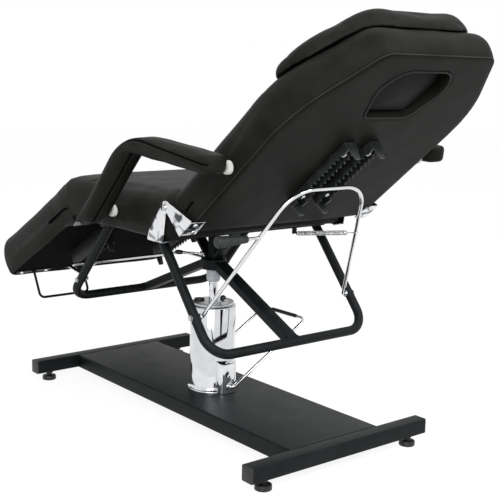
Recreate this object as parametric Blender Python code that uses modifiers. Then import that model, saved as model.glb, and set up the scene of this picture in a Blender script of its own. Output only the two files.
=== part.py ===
"""Hydraulic massage table: base frame, pump column, tube frame and three upholstered sections.

X runs along the table with the head at +X, Y across it and Z up, in metres. The origin is on the floor
under the middle of the table at rest, with the backrest raised and the leg rest lowered.
"""

import math

import bmesh
import bpy
import numpy as np
from mathutils import Matrix, Vector

# Fits
GAP = 0.0003
RUNNING = 0.0006
COLUMN_X = -0.02292

# Base
BASE_LENGTH = 1.10
BAR_LENGTH = 0.58
BAR_SIZE = 0.040
BAR_WALL = 0.0025
BAR_BOTTOM = 0.027
CAP_THICK = 0.004
CAP_INSERT = 0.014
PLATE_WIDTH = 0.30
PLATE_THICK = 0.004
FOOT_INSET = 0.045
FOOT_RADIUS = 0.021
FOOT_PAD = 0.012
STUD_RADIUS = 0.005
STUD_IN_BAR = 0.012
FOOT_NUT_RADIUS = 0.010
FOOT_NUT_HEIGHT = 0.006

# Column
COVER_RADIUS = 0.065
COVER_WALL = 0.0025
COVER_HEIGHT = 0.240
COVER_FLANGE = 0.007
FLANGE_HEIGHT = 0.006
CAP_HEIGHT = 0.012
CAP_SKIRT = 0.010
CYLINDER_RADIUS = 0.036
CYLINDER_WALL = 0.006
ROD_RADIUS = 0.0125
ROD_BOTTOM = 0.106
ROD_SHOWN = 0.058
COLLAR_RADIUS = 0.020
COLLAR_HEIGHT = 0.036
HOUSING_HALF_WIDTH = 0.030
HOUSING_REACH = 0.083
HOUSING_HEIGHT = 0.095
HOUSING_SLOPE = 0.006

# Pump pedal, one bent wire on an axis along X
PEDAL_WIRE = 0.0045
PEDAL_ARM_GAP = 0.008
PEDAL_PIVOT_HEIGHT = 0.020
PEDAL_LENGTH = 0.315
PEDAL_REST_DEG = 31.0
PEDAL_TURN_IN = 0.014
PEDAL_BEND = 0.022

# Upper tube frame
TUBE_RADIUS = 0.0125
LOOP_HALF_WIDTH = 0.263
LOOP_TOP_X = 0.147
LOOP_FOOT_X = 0.347
REAR_FOOT_Z = 0.276
FRONT_FOOT_Z = 0.300
LOOP_BEND = 0.060
LOOP_TOP_DROP = 0.025
RAIL_X = 0.134
RAIL_WIDTH = 0.050
RAIL_HEIGHT = 0.008
LUG_THICK = 0.003
LUG_HALF_WIDTH = 0.008
LUG_DROP = 0.016
LUG_INSET = 0.0005
HUB_RADIUS = 0.036
HUB_HEIGHT = 0.030
HUB_POST_RADIUS = 0.016
BEAM_WIDTH = 0.038
BEAM_HEIGHT = 0.022
STRUT_WIDTH = 0.032
STRUT_HEIGHT = 0.010

# Seat, backrest and leg rest share one thickness and one hinge height
SEAT_UNDERSIDE = 0.544
BOARD_THICK = 0.015
BOARD_INSET = 0.006
CUSHION_HALF_WIDTH = 0.305
HINGE_RISE = 0.087
LEG_HINGE_RISE = 0.006
CUSHION_TOP = 0.030
CROWN = 0.009
HINGE_GAP = 0.006
SEAT_REAR_X = 0.215
SEAT_LENGTH = 0.483
BACK_LENGTH = 0.700
BACK_TAPER_START = 0.490
BACK_HEAD_HALF_WIDTH = 0.178
HEAD_THIN_START = 0.400
HEAD_THIN = 0.30
LEG_LENGTH = 0.522
LEG_EXTRA = 0.010
BACK_ANGLE_DEG = 38.8
LEG_ANGLE_DEG = 28.5

# Face hole, its plug and the head pillow, placed along the backrest from its hinge
HOLE_CENTRE = 0.556
HOLE_HALF_LENGTH = 0.079
HOLE_FOOT_HALF = 0.068
HOLE_WIDEST = 0.575
HOLE_HALF_WIDTH = 0.104
HOLE_HEAD_HALF = 0.074
HOLE_FOOT_BEND = 0.022
HOLE_SIDE_BEND = 0.060
HOLE_HEAD_BEND = 0.045
PLUG_CLEAR = 0.0004
PLUG_RECESS = 0.022
PLUG_TOP = 0.006
PILLOW_START = 0.455
PILLOW_EDGE = 0.7
PILLOW_HALF_WIDTH = 0.262
PILLOW_END_INSET = 0.006
PILLOW_HEAD_HALF_WIDTH = 0.142
PILLOW_HEIGHT = 0.076
PILLOW_SINK = 0.055

# Hinge hardware, outside the cushions
PLATE_SHEET = 0.003
HINGE_PLATE_Y = 0.3075
HINGE_EAR = 0.016
HINGE_PLATE_LENGTH = 0.075
LEG_PLATE_LENGTH = 0.050
LEG_EAR = 0.0115
SEAT_FLANGE = 0.024
BACK_FLANGE = 0.042
HINGE_FLANGE_START = 0.020
HINGE_FLANGE_LENGTH = 0.062
PIN_RADIUS = 0.005
PIN_HEAD_RADIUS = 0.009
PIN_HEAD = 0.003

# Backrest bail and its racks
BAIL_RADIUS = 0.005
BAIL_PIVOT_X = 0.277
BAIL_PIVOT_CLEAR = 0.004
BAIL_BAR_HALF = 0.118
BAIL_BEND = 0.090
LEG_BAIL_BEND = 0.025
BACK_RACK_Y = 0.040
BACK_RACK_START = 0.140
BACK_RACK_LENGTH = 0.245
BACK_BAR_ALONG = 0.231
RACK_WIDTH = 0.036
RACK_HEIGHT = 0.024
RACK_END_RISE = 0.016
RACK_END_LENGTH = 0.016
TOOTH_PITCH = 0.0165
TOOTH_DEPTH = 0.009
GRIP_ALONG = 0.64
GRIP_LENGTH = 0.090
GRIP_STUB = 0.040
GRIP_FAT = 0.0145
GRIP_THIN = 0.009
SPRING_COILS = 28
SPRING_WIRE = 0.0011
SPRING_RADIUS = 0.0068
SPRING_HOOK_LENGTH = 0.024

# Leg rest bail, racks and the pull handle
LEG_PIVOT_X = -0.290
LEG_BAR_ALONG = 0.244
LEG_BAR_HALF = 0.215
LEG_RACK_Y = 0.150
LEG_RACK_START = 0.085
LEG_RACK_LENGTH = 0.215
LEG_RACK_HEIGHT = 0.056
HANDLE_WIRE = 0.004
HANDLE_ALONG = 0.468
HANDLE_DROP = 0.086
HANDLE_Y = -0.220
HANDLE_WIDTH = 0.175
HANDLE_BEND = 0.016

# Armrests
ARM_CLEAR = 0.020
ARM_WIDTH = 0.070
ARM_ROUND = 0.014
ARM_SEAT_PIVOT = (-0.030, 0.052)
ARM_ELBOW = (0.161, 0.2195)
ARM_BACK_PIVOT = (0.460, 0.204)
ARM_ELBOW_GAP = 0.0012
ARM_BEND = 0.200
POST_ANGLE_DEG = 45.8
POST_LENGTH = 0.262
POST_THICK = 0.049
POST_HEEL = 0.080
PAD_ANGLE_DEG = -5.2
PAD_LENGTH = 0.336
PAD_HEIGHT = 0.047
SPACER_RADIUS = 0.016

SIDES = {"left": -1, "right": 1}


# Derived places
BAR_TOP = BAR_BOTTOM + BAR_SIZE
BAR_X = BASE_LENGTH / 2 - BAR_SIZE / 2
COVER_TOP = BAR_TOP + GAP + COVER_HEIGHT
PEDAL_PIVOT = Vector((0.0, 0.0, BAR_TOP + PEDAL_PIVOT_HEIGHT))
CAP_TOP = COVER_TOP + GAP + CAP_HEIGHT
COLLAR_BOTTOM = CAP_TOP + ROD_SHOWN
HUB_BOTTOM = COLLAR_BOTTOM + COLLAR_HEIGHT + GAP
HUB_TOP = HUB_BOTTOM + HUB_HEIGHT
RAIL_TOP = SEAT_UNDERSIDE - GAP
RAIL_BOTTOM = RAIL_TOP - RAIL_HEIGHT
LOOP_TOP_Z = RAIL_TOP - LOOP_TOP_DROP
HINGE_Z = SEAT_UNDERSIDE + HINGE_RISE
BACK_HINGE = Vector((SEAT_REAR_X, 0.0, HINGE_Z))
LEG_HINGE = Vector((SEAT_REAR_X - SEAT_LENGTH, 0.0, SEAT_UNDERSIDE + LEG_HINGE_RISE))
LEG_LIFT = HINGE_RISE - LEG_HINGE_RISE
CUSHION_BASE = BOARD_THICK + GAP - HINGE_RISE
ARM_INNER_Y = CUSHION_HALF_WIDTH + ARM_CLEAR


def leg_height(x):
    """Height of a loop leg's centre line at a distance x from the column, the rear loop's where x is above 0."""
    foot = REAR_FOOT_Z if x > 0 else FRONT_FOOT_Z
    return LOOP_TOP_Z + (abs(x) - LOOP_TOP_X) * (foot - LOOP_TOP_Z) / (LOOP_FOOT_X - LOOP_TOP_X)


BAIL_END_Y = LOOP_HALF_WIDTH - TUBE_RADIUS - GAP
BAIL_KNEE_Y = BAIL_END_Y - BAIL_PIVOT_CLEAR - BAIL_RADIUS
SPRING_Y = BAIL_KNEE_Y + (BAIL_BAR_HALF - BAIL_KNEE_Y) * GRIP_ALONG
LUG_FACE_X = RAIL_X + RAIL_WIDTH / 2 - LUG_INSET
BAIL_PIVOT = Vector((BAIL_PIVOT_X, 0.0, leg_height(BAIL_PIVOT_X)))
LEG_PIVOT = Vector((LEG_PIVOT_X, 0.0, leg_height(LEG_PIVOT_X)))
BACK_TIP_DROP = HINGE_RISE + RACK_HEIGHT
LEG_TIP_DROP = LEG_HINGE_RISE + LEG_RACK_HEIGHT
BACK_TURN = Matrix.Rotation(-math.radians(BACK_ANGLE_DEG), 4, "Y")
LEG_TURN = Matrix.Rotation(-math.radians(LEG_ANGLE_DEG), 4, "Y")
BACK_BAR = BACK_HINGE + BACK_TURN @ Vector((BACK_BAR_ALONG, 0.0, -BACK_TIP_DROP - BAIL_RADIUS - GAP))
LEG_BAR = LEG_HINGE + LEG_TURN @ Vector((-LEG_BAR_ALONG, 0.0, -LEG_TIP_DROP - BAIL_RADIUS - GAP))


# Scene set-up
for old in list(bpy.data.objects):
    bpy.data.objects.remove(old)
PARTS = bpy.data.collections.new("massage_table")
CUTTERS = bpy.data.collections.new("cutters")
for collection in (PARTS, CUTTERS):
    bpy.context.scene.collection.children.link(collection)
CUTTERS.hide_render = True


def finish(name, colour, roughness, metallic=0.0):
    made = bpy.data.materials.new(name)
    made.use_nodes = True
    shader = made.node_tree.nodes["Principled BSDF"]
    shader.inputs["Base Color"].default_value = (*colour, 1.0)
    shader.inputs["Roughness"].default_value = roughness
    shader.inputs["Metallic"].default_value = metallic
    return made


LEATHER = finish("black_leather", (0.026, 0.026, 0.025), 0.5)
LINING = finish("black_lining", (0.018, 0.018, 0.018), 0.7)
COAT = finish("black_powder_coat", (0.022, 0.024, 0.026), 0.55)
CHROME = finish("chrome", (0.78, 0.78, 0.78), 0.1, 1.0)
STEEL = finish("steel", (0.55, 0.55, 0.55), 0.35, 1.0)
PLASTIC = finish("black_plastic", (0.015, 0.015, 0.016), 0.45)
GREY = finish("grey_plastic", (0.30, 0.31, 0.32), 0.4)
CREAM = finish("cream_plastic", (0.80, 0.78, 0.72), 0.4)


def empty(name, place, parent=None, turn=None):
    made = bpy.data.objects.new(name, None)
    made.empty_display_size = 0.05
    PARTS.objects.link(made)
    made.parent = parent
    made.location = place
    if turn is not None:
        made.rotation_euler = turn.to_euler()
    return made


TABLE = empty("table", (COLUMN_X, 0.0, 0.0))
BACK = empty("backrest_hinge", BACK_HINGE, TABLE, BACK_TURN)
LEG = empty("leg_rest_hinge", LEG_HINGE, TABLE, LEG_TURN)


def place(obj, look, parent=TABLE, origin=(0.0, 0.0, 0.0)):
    """Puts an object into the parts, with its origin moved to a point of its parent's frame."""
    PARTS.objects.link(obj)
    obj.data.materials.append(look)
    obj.data.transform(Matrix.Translation(-Vector(origin)))
    obj.location = origin
    obj.parent = parent
    return obj


def smooth(mesh, degrees=35):
    mesh.shade_smooth()
    mesh.set_sharp_from_angle(angle=math.radians(degrees))


def mesh_from(name, work):
    mesh = bpy.data.meshes.new(name)
    bmesh.ops.recalc_face_normals(work, faces=work.faces)
    work.to_mesh(mesh)
    work.free()
    return bpy.data.objects.new(name, mesh)


def bevel(obj, width, segments=2):
    rounding = obj.modifiers.new("rounding", "BEVEL")
    rounding.width = width
    rounding.segments = segments
    rounding.limit_method = "ANGLE"
    return obj


def box(name, low, high):
    """A block between two corners."""
    low = Vector(low)
    high = Vector(high)
    work = bmesh.new()
    bmesh.ops.create_cube(work, size=1.0)
    bmesh.ops.scale(work, vec=high - low, verts=work.verts)
    bmesh.ops.translate(work, vec=(low + high) / 2, verts=work.verts)
    return mesh_from(name, work)


def beam(name, start, end, width, height):
    """A straight bar between two points, its width across Y."""
    start = Vector(start)
    along = Vector(end) - start
    up = along.cross(Vector((0, 1, 0))).normalized()
    turn = Matrix((along.normalized(), Vector((0, 1, 0)), up)).transposed().to_4x4()
    made = box(name, (0, -width / 2, -height / 2), (along.length, width / 2, height / 2))
    made.data.transform(Matrix.Translation(start) @ turn)
    if turn.determinant() < 0:
        made.data.flip_normals()
    return made


def turned(name, profile, steps=32):
    """A profile of (radius, height), from the top down its outer side, turned about Z."""
    mesh = bpy.data.meshes.new(name)
    points = [(radius, 0.0, height) for radius, height in profile]
    closed = profile[0][0] > 0
    count = len(points)
    edges = [(i, (i + 1) % count) for i in range(count if closed else count - 1)]
    mesh.from_pydata(points, edges, [])
    obj = bpy.data.objects.new(name, mesh)
    screw = obj.modifiers.new("turning", "SCREW")
    screw.steps = steps
    screw.render_steps = steps
    screw.use_merge_vertices = True
    screw.merge_threshold = 0.00001
    screw.use_smooth_shade = True
    return obj


def bend(points, radius, steps=5):
    """The corner points of a path with each inner corner rounded to a radius."""
    points = [Vector(point) for point in points]
    path = [points[0]]
    for before, corner, after in zip(points, points[1:], points[2:]):
        back = (before - corner).normalized()
        ahead = (after - corner).normalized()
        half = back.angle(ahead) / 2
        reach = radius / math.tan(half)
        centre = corner + (back + ahead).normalized() * (radius / math.sin(half))
        first = corner + back * reach - centre
        last = corner + ahead * reach - centre
        first = first.normalized()
        last = last.normalized()
        path += [centre + first.slerp(last, i / steps) * radius for i in range(steps + 1)]
    return path + [points[-1]]


def wire(name, path, radius, sides=10):
    """A round tube or rod along a path."""
    curve = bpy.data.curves.new(name, "CURVE")
    curve.dimensions = "3D"
    curve.bevel_depth = radius
    curve.bevel_resolution = (sides - 4) // 2
    curve.use_fill_caps = True
    spline = curve.splines.new("POLY")
    spline.points.add(len(path) - 1)
    for point, spot in zip(spline.points, path):
        point.co = (*spot, 1.0)
    return bpy.data.objects.new(name, curve)


def as_mesh(obj):
    """The same object with its curve or modifiers made a plain welded mesh."""
    bpy.context.scene.collection.objects.link(obj)
    bpy.context.view_layer.update()
    graph = bpy.context.evaluated_depsgraph_get()
    mesh = bpy.data.meshes.new_from_object(obj.evaluated_get(graph))
    work = bmesh.new()
    work.from_mesh(mesh)
    bmesh.ops.remove_doubles(work, verts=work.verts, dist=0.00001)
    bmesh.ops.recalc_face_normals(work, faces=work.faces)
    work.to_mesh(mesh)
    work.free()
    name = obj.name
    bpy.data.objects.remove(obj)
    made = bpy.data.objects.new(name, mesh)
    made.name = name
    return made


def sheet(name, outlines, thickness, edge=0.0, edge_steps=2):
    """A flat outline in X and Y, with any holes after it, thickened about its own plane."""
    curve = bpy.data.curves.new(name, "CURVE")
    curve.dimensions = "2D"
    curve.fill_mode = "BOTH"
    curve.extrude = thickness / 2 - edge
    curve.bevel_depth = edge
    curve.bevel_resolution = edge_steps
    curve.offset = -edge
    for outline in outlines:
        spline = curve.splines.new("POLY")
        spline.points.add(len(outline) - 1)
        spline.use_cyclic_u = True
        for point, spot in zip(spline.points, outline):
            point.co = (spot[0], spot[1], 0.0, 1.0)
    return as_mesh(bpy.data.objects.new(name, curve))


def upright(obj, y=0.0):
    """Turns a flat outline drawn in X and Y so that it stands in X and Z, centred at y."""
    obj.data.transform(Matrix.Translation((0, y, 0)) @ Matrix.Rotation(math.pi / 2, 4, "X"))
    return obj


def boolean(obj, tool, operation, parent=TABLE):
    """Cuts or joins a placed mesh with another mesh in the same parent's frame."""
    CUTTERS.objects.link(tool)
    tool.parent = parent
    tool.hide_render = True
    tool.display_type = "WIRE"
    step = obj.modifiers.new(tool.name, "BOOLEAN")
    step.operation = operation
    step.object = tool
    step.solver = "EXACT"
    return obj


def cylinder(name, start, end, radius, sides=24):
    start = Vector(start)
    along = Vector(end) - start
    work = bmesh.new()
    bmesh.ops.create_cone(
        work, cap_ends=True, segments=sides, radius1=radius, radius2=radius, depth=along.length
    )
    turn = along.to_track_quat("Z", "Y").to_matrix().to_4x4()
    bmesh.ops.transform(work, matrix=Matrix.Translation(start + along / 2) @ turn, verts=work.verts)
    return mesh_from(name, work)


def inset_corners(corners, distance):
    """A convex outline's corners with every side moved in by a distance."""
    points = np.array(corners, float)
    ahead = np.roll(points, -1, axis=0) - points
    ahead /= np.linalg.norm(ahead, axis=1)[:, None]
    inward = np.stack([-ahead[:, 1], ahead[:, 0]], axis=1)
    start = points + inward * distance
    previous = np.roll(start, 1, axis=0)
    before = np.roll(ahead, 1, axis=0)
    cross = before[:, 0] * ahead[:, 1] - before[:, 1] * ahead[:, 0]
    offset = start - previous
    reach = (offset[:, 0] * ahead[:, 1] - offset[:, 1] * ahead[:, 0]) / cross
    return previous + before * reach[:, None]


def rounded(corners, radii, steps=4):
    """A convex outline with each corner rounded to its own radius, as points."""
    points = []
    count = len(corners)
    for i in range(count):
        before, corner, after = (Vector(corners[(i + k) % count]).to_3d() for k in (-1, 0, 1))
        points += bend([before, corner, after], radii[i], steps)[1:-1]
    return [(point.x, point.y) for point in points]


def cushion(name, corners, radii, levels, crown, thin=0.0):
    """A padded form: rings of one outline, each (inset, height) from the base up, closed by a crown.

    It thins towards the head by a share of its height where thin is above 0.
    """
    work = bmesh.new()
    base = levels[0][1]
    rings = []
    for inset, height in levels:
        shape = rounded(inset_corners(corners, inset), [max(radius - inset, 0.004) for radius in radii])
        rings.append([work.verts.new((x, y, height)) for x, y in shape])
    for lower, upper in zip(rings, rings[1:]):
        for i in range(len(lower)):
            j = (i + 1) % len(lower)
            work.faces.new((lower[i], lower[j], upper[j], upper[i]))
    work.faces.new(list(reversed(rings[0])))
    centre = sum((vert.co for vert in rings[-1]), Vector()) / len(rings[-1])
    peak = work.verts.new((centre.x, centre.y, crown))
    for i in range(len(rings[-1])):
        work.faces.new((rings[-1][i], rings[-1][(i + 1) % len(rings[-1])], peak))
    for vert in work.verts:
        share = min(max((vert.co.x - HEAD_THIN_START) / (BACK_LENGTH - HEAD_THIN_START), 0), 1)
        vert.co.z = base + (vert.co.z - base) * (1 - thin * share * share)
    made = mesh_from(name, work)
    smooth(made.data, 50)
    return made


def pad_levels(base, top):
    """Side and edge of a padded form: drawn in at the base, swelling, then rounded over to the top."""
    tall = top - base
    return [
        (0.006, base),
        (0.001, base + 0.25 * tall),
        (0.000, base + 0.45 * tall),
        (0.004, base + 0.66 * tall),
        (0.013, base + 0.84 * tall),
        (0.028, base + 0.96 * tall),
        (0.060, top + 0.35 * CROWN),
        (0.105, top + 0.75 * CROWN),
    ]


# Base
def base_bar(name, x):
    half = BAR_SIZE / 2
    inner = half - BAR_WALL
    ring = [[(-s, -s), (s, -s), (s, s), (-s, s)] for s in (half, inner)]
    bar = sheet(name, ring, BAR_LENGTH)
    bar.data.transform(Matrix.Translation((x, 0, BAR_BOTTOM + half)) @ Matrix.Rotation(math.pi / 2, 4, "X"))
    bar = place(bar, COAT)
    for side, sign in SIDES.items():
        spot = Vector((x, sign * (BAR_LENGTH / 2 - FOOT_INSET), BAR_BOTTOM))
        hole = cylinder(
            f"{name}_{side}_hole", spot - Vector((0, 0, BAR_WALL)), spot + Vector((0, 0, BAR_WALL * 2)),
            STUD_RADIUS + RUNNING,
        )
        boolean(bar, hole, "DIFFERENCE")
    return bar


def bar_cap(name, x, sign):
    half = BAR_SIZE / 2
    end = sign * BAR_LENGTH / 2
    insert = half - BAR_WALL - GAP
    face = box(
        name,
        (x - half, min(end + sign * GAP, end + sign * (GAP + CAP_THICK)), BAR_BOTTOM),
        (x + half, max(end + sign * GAP, end + sign * (GAP + CAP_THICK)), BAR_TOP),
    )
    root = end + sign * (GAP + CAP_THICK / 2)
    tip = end - sign * CAP_INSERT
    plug = box(
        f"{name}_insert",
        (x - insert, min(root, tip), BAR_BOTTOM + half - insert),
        (x + insert, max(root, tip), BAR_BOTTOM + half + insert),
    )
    place(face, PLASTIC)
    return boolean(face, plug, "UNION")


def levelling_foot(name, x, sign):
    under = BAR_BOTTOM - GAP
    foot = turned(
        name,
        [
            (0.0, BAR_BOTTOM + STUD_IN_BAR),
            (STUD_RADIUS, BAR_BOTTOM + STUD_IN_BAR),
            (STUD_RADIUS, under),
            (FOOT_NUT_RADIUS, under),
            (FOOT_NUT_RADIUS, under - FOOT_NUT_HEIGHT),
            (STUD_RADIUS * 1.4, under - FOOT_NUT_HEIGHT),
            (STUD_RADIUS * 1.4, FOOT_PAD + 0.003),
            (FOOT_RADIUS * 0.75, FOOT_PAD),
            (FOOT_RADIUS, FOOT_PAD * 0.7),
            (FOOT_RADIUS, 0.0),
            (0.0, 0.0),
        ],
        24,
    )
    place(foot, PLASTIC)
    foot.location = (x, sign * (BAR_LENGTH / 2 - FOOT_INSET), 0.0)
    return foot


def base_plate():
    half = PLATE_WIDTH / 2
    inner = half - PLATE_THICK
    low = BAR_BOTTOM
    under = BAR_TOP - PLATE_THICK
    fold = [(-half, low), (-inner, low), (-inner, under), (inner, under), (inner, low), (half, low),
            (half, BAR_TOP), (-half, BAR_TOP)]
    plate = sheet("base_plate", [fold], 2 * (BAR_X - BAR_SIZE / 2 - GAP))
    stand = Matrix(((0, 0, 1, 0), (1, 0, 0, 0), (0, 1, 0, 0), (0, 0, 0, 1)))
    plate.data.transform(stand)
    return place(plate, COAT)


for end, sign_x in {"head": 1, "foot": -1}.items():
    base_bar(f"base_bar_{end}", sign_x * BAR_X)
    for side, sign in SIDES.items():
        bar_cap(f"bar_cap_{end}_{side}", sign_x * BAR_X, sign)
        levelling_foot(f"levelling_foot_{end}_{side}", sign_x * BAR_X, sign)
base_plate()


# Pump column
def column_cover():
    inner = COVER_RADIUS - COVER_WALL
    low = BAR_TOP + GAP
    cover = turned(
        "column_cover",
        [
            (inner, COVER_TOP),
            (COVER_RADIUS, COVER_TOP),
            (COVER_RADIUS, low + 2.2 * FLANGE_HEIGHT),
            (COVER_RADIUS + 0.5 * COVER_FLANGE, low + 1.2 * FLANGE_HEIGHT),
            (COVER_RADIUS + COVER_FLANGE, low + 0.5 * FLANGE_HEIGHT),
            (COVER_RADIUS + COVER_FLANGE, low),
            (inner, low),
        ],
        48,
    )
    return place(cover, CHROME)


def cylinder_cap():
    """The lid of the cover, with a groove in its rim and a guide bore for the rod."""
    low = COVER_TOP + GAP
    rim = COVER_RADIUS * 0.92
    bore = ROD_RADIUS + RUNNING
    skirt = COVER_RADIUS - COVER_WALL - GAP
    cap = turned(
        "cylinder_cap",
        [
            (bore, CAP_TOP),
            (rim, CAP_TOP),
            (rim, CAP_TOP - 0.35 * CAP_HEIGHT),
            (rim - 0.003, CAP_TOP - 0.45 * CAP_HEIGHT),
            (rim - 0.003, CAP_TOP - 0.6 * CAP_HEIGHT),
            (COVER_RADIUS, CAP_TOP - 0.7 * CAP_HEIGHT),
            (COVER_RADIUS, low),
            (skirt, low),
            (skirt, low - CAP_SKIRT),
            (bore, low - CAP_SKIRT),
        ],
        40,
    )
    return place(cap, STEEL)


def hydraulic_cylinder():
    inner = CYLINDER_RADIUS - CYLINDER_WALL
    low = BAR_TOP + GAP
    high = COVER_TOP - CAP_SKIRT - GAP
    floor = low + CYLINDER_WALL
    tube = turned(
        "hydraulic_cylinder",
        [(0.0, floor), (inner, floor), (inner, high), (CYLINDER_RADIUS, high), (CYLINDER_RADIUS, low), (0.0, low)],
    )
    return place(tube, STEEL)


def pump_housing(name, sign):
    """A block on one X side of the cover with a sloped top, which holds one end of the pedal."""
    top = BAR_TOP + HOUSING_HEIGHT
    near = COVER_RADIUS + COVER_FLANGE
    wide = HOUSING_HALF_WIDTH
    slope = [(-wide, BAR_TOP + GAP), (wide, BAR_TOP + GAP), (wide, top - HOUSING_SLOPE), (-wide, top)]
    block = sheet(name, [slope], HOUSING_REACH - COVER_RADIUS * 0.6)
    middle = sign * (HOUSING_REACH + COVER_RADIUS * 0.6) / 2
    block.data.transform(
        Matrix(((0, 0, 1, middle), (1, 0, 0, 0), (0, 1, 0, 0), (0, 0, 0, 1)))
    )
    block = place(block, CHROME)
    floor = BAR_TOP + 2.2 * FLANGE_HEIGHT + 2 * GAP
    body = cylinder(f"{name}_body", (0, 0, floor - 0.001), (0, 0, top + 0.01), COVER_RADIUS + GAP, 96)
    skirt = cylinder(f"{name}_skirt", (0, 0, BAR_TOP - 0.01), (0, 0, floor), near + GAP, 96)
    boolean(block, body, "DIFFERENCE")
    boolean(block, skirt, "DIFFERENCE")
    start = PEDAL_PIVOT + Vector((sign * (HOUSING_REACH - PEDAL_TURN_IN - GAP), 0, 0))
    bore = cylinder(
        f"{name}_bore", start, start + Vector((sign * HOUSING_REACH, 0, 0)), PEDAL_WIRE + RUNNING, 20
    )
    return boolean(block, bore, "DIFFERENCE")


def pump_pedal():
    arm_x = HOUSING_REACH + PEDAL_ARM_GAP + PEDAL_WIRE
    angle = math.radians(PEDAL_REST_DEG)
    reach = Vector((0, math.cos(angle), math.sin(angle))) * PEDAL_LENGTH
    tuck = Vector((HOUSING_REACH - PEDAL_TURN_IN, 0, 0))
    out = Vector((arm_x, 0, 0))
    path = [tuck, out, out + reach, reach - out, -out, -tuck]
    small = bend(path[:3], PEDAL_WIRE * 2.2, 4)[:-1]
    large = bend(path[1:5], PEDAL_BEND, 5)[1:-1]
    other = [Vector((-spot.x, spot.y, spot.z)) for spot in reversed(small)]
    pedal = wire("pump_pedal", small + large + other, PEDAL_WIRE)
    pedal.data.transform(Matrix.Translation(PEDAL_PIVOT))
    return place(pedal, CHROME, origin=PEDAL_PIVOT)


def piston():
    rod = turned(
        "piston_rod",
        [(0.0, HUB_BOTTOM - COLLAR_HEIGHT / 2), (ROD_RADIUS, HUB_BOTTOM - COLLAR_HEIGHT / 2),
         (ROD_RADIUS, ROD_BOTTOM), (0.0, ROD_BOTTOM)],
    )
    place(rod, CHROME)
    bore = ROD_RADIUS + GAP
    top = COLLAR_BOTTOM + COLLAR_HEIGHT
    collar = turned(
        "piston_collar",
        [
            (bore, top),
            (COLLAR_RADIUS, top),
            (COLLAR_RADIUS, COLLAR_BOTTOM + 0.3 * COLLAR_HEIGHT),
            (COLLAR_RADIUS * 0.85, COLLAR_BOTTOM),
            (bore, COLLAR_BOTTOM),
        ],
    )
    return place(collar, GREY)


column_cover()
cylinder_cap()
hydraulic_cylinder()
for end, sign_x in {"head": 1, "foot": -1}.items():
    pump_housing(f"pump_housing_{end}", sign_x)
pump_pedal()
piston()


# Upper frame
def frame_loop(name, sign):
    """A bent tube: two legs from the seat rail down to a cross tube, leaning out along X."""
    past = sign * (LOOP_TOP_X - TUBE_RADIUS * 4)
    top = Vector((past, LOOP_HALF_WIDTH, leg_height(past)))
    foot = Vector((sign * LOOP_FOOT_X, LOOP_HALF_WIDTH, leg_height(sign * LOOP_FOOT_X)))
    across = Vector((1, -1, 1))
    path = bend([top * across, foot * across, foot, top], LOOP_BEND, 6)
    loop = place(as_mesh(wire(name, path, TUBE_RADIUS, 12)), COAT)
    smooth(loop.data)
    over = box(f"{name}_mitre", (-1, -1, RAIL_BOTTOM - GAP), (1, 1, RAIL_BOTTOM + 0.1))
    return boolean(loop, over, "DIFFERENCE")


def hub():
    """The welded middle of the frame: a socket on the piston, a post and two struts up to the rails."""
    made = turned(
        "hub",
        [
            (0.0, RAIL_TOP),
            (HUB_POST_RADIUS, RAIL_TOP),
            (HUB_POST_RADIUS, HUB_TOP + 0.004),
            (HUB_POST_RADIUS + 0.006, HUB_TOP),
            (HUB_RADIUS, HUB_TOP),
            (HUB_RADIUS, HUB_BOTTOM),
            (0.0, HUB_BOTTOM),
        ],
        40,
    )
    made = place(as_mesh(made), COAT)
    smooth(made.data)
    for end, sign in {"rear": 1, "front": -1}.items():
        face = sign * (RAIL_X - RAIL_WIDTH / 2 - GAP)
        rail = Vector((face, 0, RAIL_TOP - STRUT_HEIGHT * 0.75))
        foot = Vector((sign * HUB_RADIUS * 0.4, 0, HUB_TOP))
        past = rail + (rail - foot).normalized() * STRUT_HEIGHT * 2
        boolean(made, beam(f"{end}_strut", foot, past, STRUT_WIDTH, STRUT_HEIGHT), "UNION")
        reach = sorted((face, face + sign * 0.1))
        stop = box(f"{end}_strut_end", (reach[0], -0.1, RAIL_BOTTOM - 0.05), (reach[1], 0.1, RAIL_TOP + 0.05))
        boolean(made, stop, "DIFFERENCE")
    return made


def frame_beam(end, sign):
    """The bar from the hub down to a loop's cross tube."""
    start = (sign * HUB_RADIUS * 0.5, 0, (HUB_BOTTOM + HUB_TOP) / 2)
    cross = Vector((sign * LOOP_FOOT_X, 0, leg_height(sign * LOOP_FOOT_X)))
    side = Vector((0, BEAM_WIDTH, 0))
    made = place(beam(f"{end}_beam", start, cross, BEAM_WIDTH, BEAM_HEIGHT), COAT)
    socket = cylinder(f"{end}_beam_hub", (0, 0, HUB_BOTTOM - 0.1), (0, 0, RAIL_TOP), HUB_RADIUS + GAP, 64)
    boolean(made, socket, "DIFFERENCE")
    tube = cylinder(f"{end}_beam_tube", cross - side, cross + side, TUBE_RADIUS + GAP, 48)
    return boolean(made, tube, "DIFFERENCE")


for end, sign_x in {"rear": 1, "front": -1}.items():
    frame_loop(f"{end}_loop", sign_x)
    rail_x = sign_x * RAIL_X
    rail_half = LOOP_HALF_WIDTH + TUBE_RADIUS
    rail = box(
        f"{end}_rail",
        (rail_x - RAIL_WIDTH / 2, -rail_half, RAIL_BOTTOM),
        (rail_x + RAIL_WIDTH / 2, rail_half, RAIL_TOP),
    )
    place(rail, COAT)
    if sign_x > 0:
        lug = box(
            "spring_lug",
            (LUG_FACE_X - LUG_THICK, SPRING_Y - LUG_HALF_WIDTH, RAIL_BOTTOM - LUG_DROP),
            (LUG_FACE_X, SPRING_Y + LUG_HALF_WIDTH, RAIL_BOTTOM + RAIL_HEIGHT / 2),
        )
        boolean(rail, lug, "UNION")
    frame_beam(end, sign_x)
hub()


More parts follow.
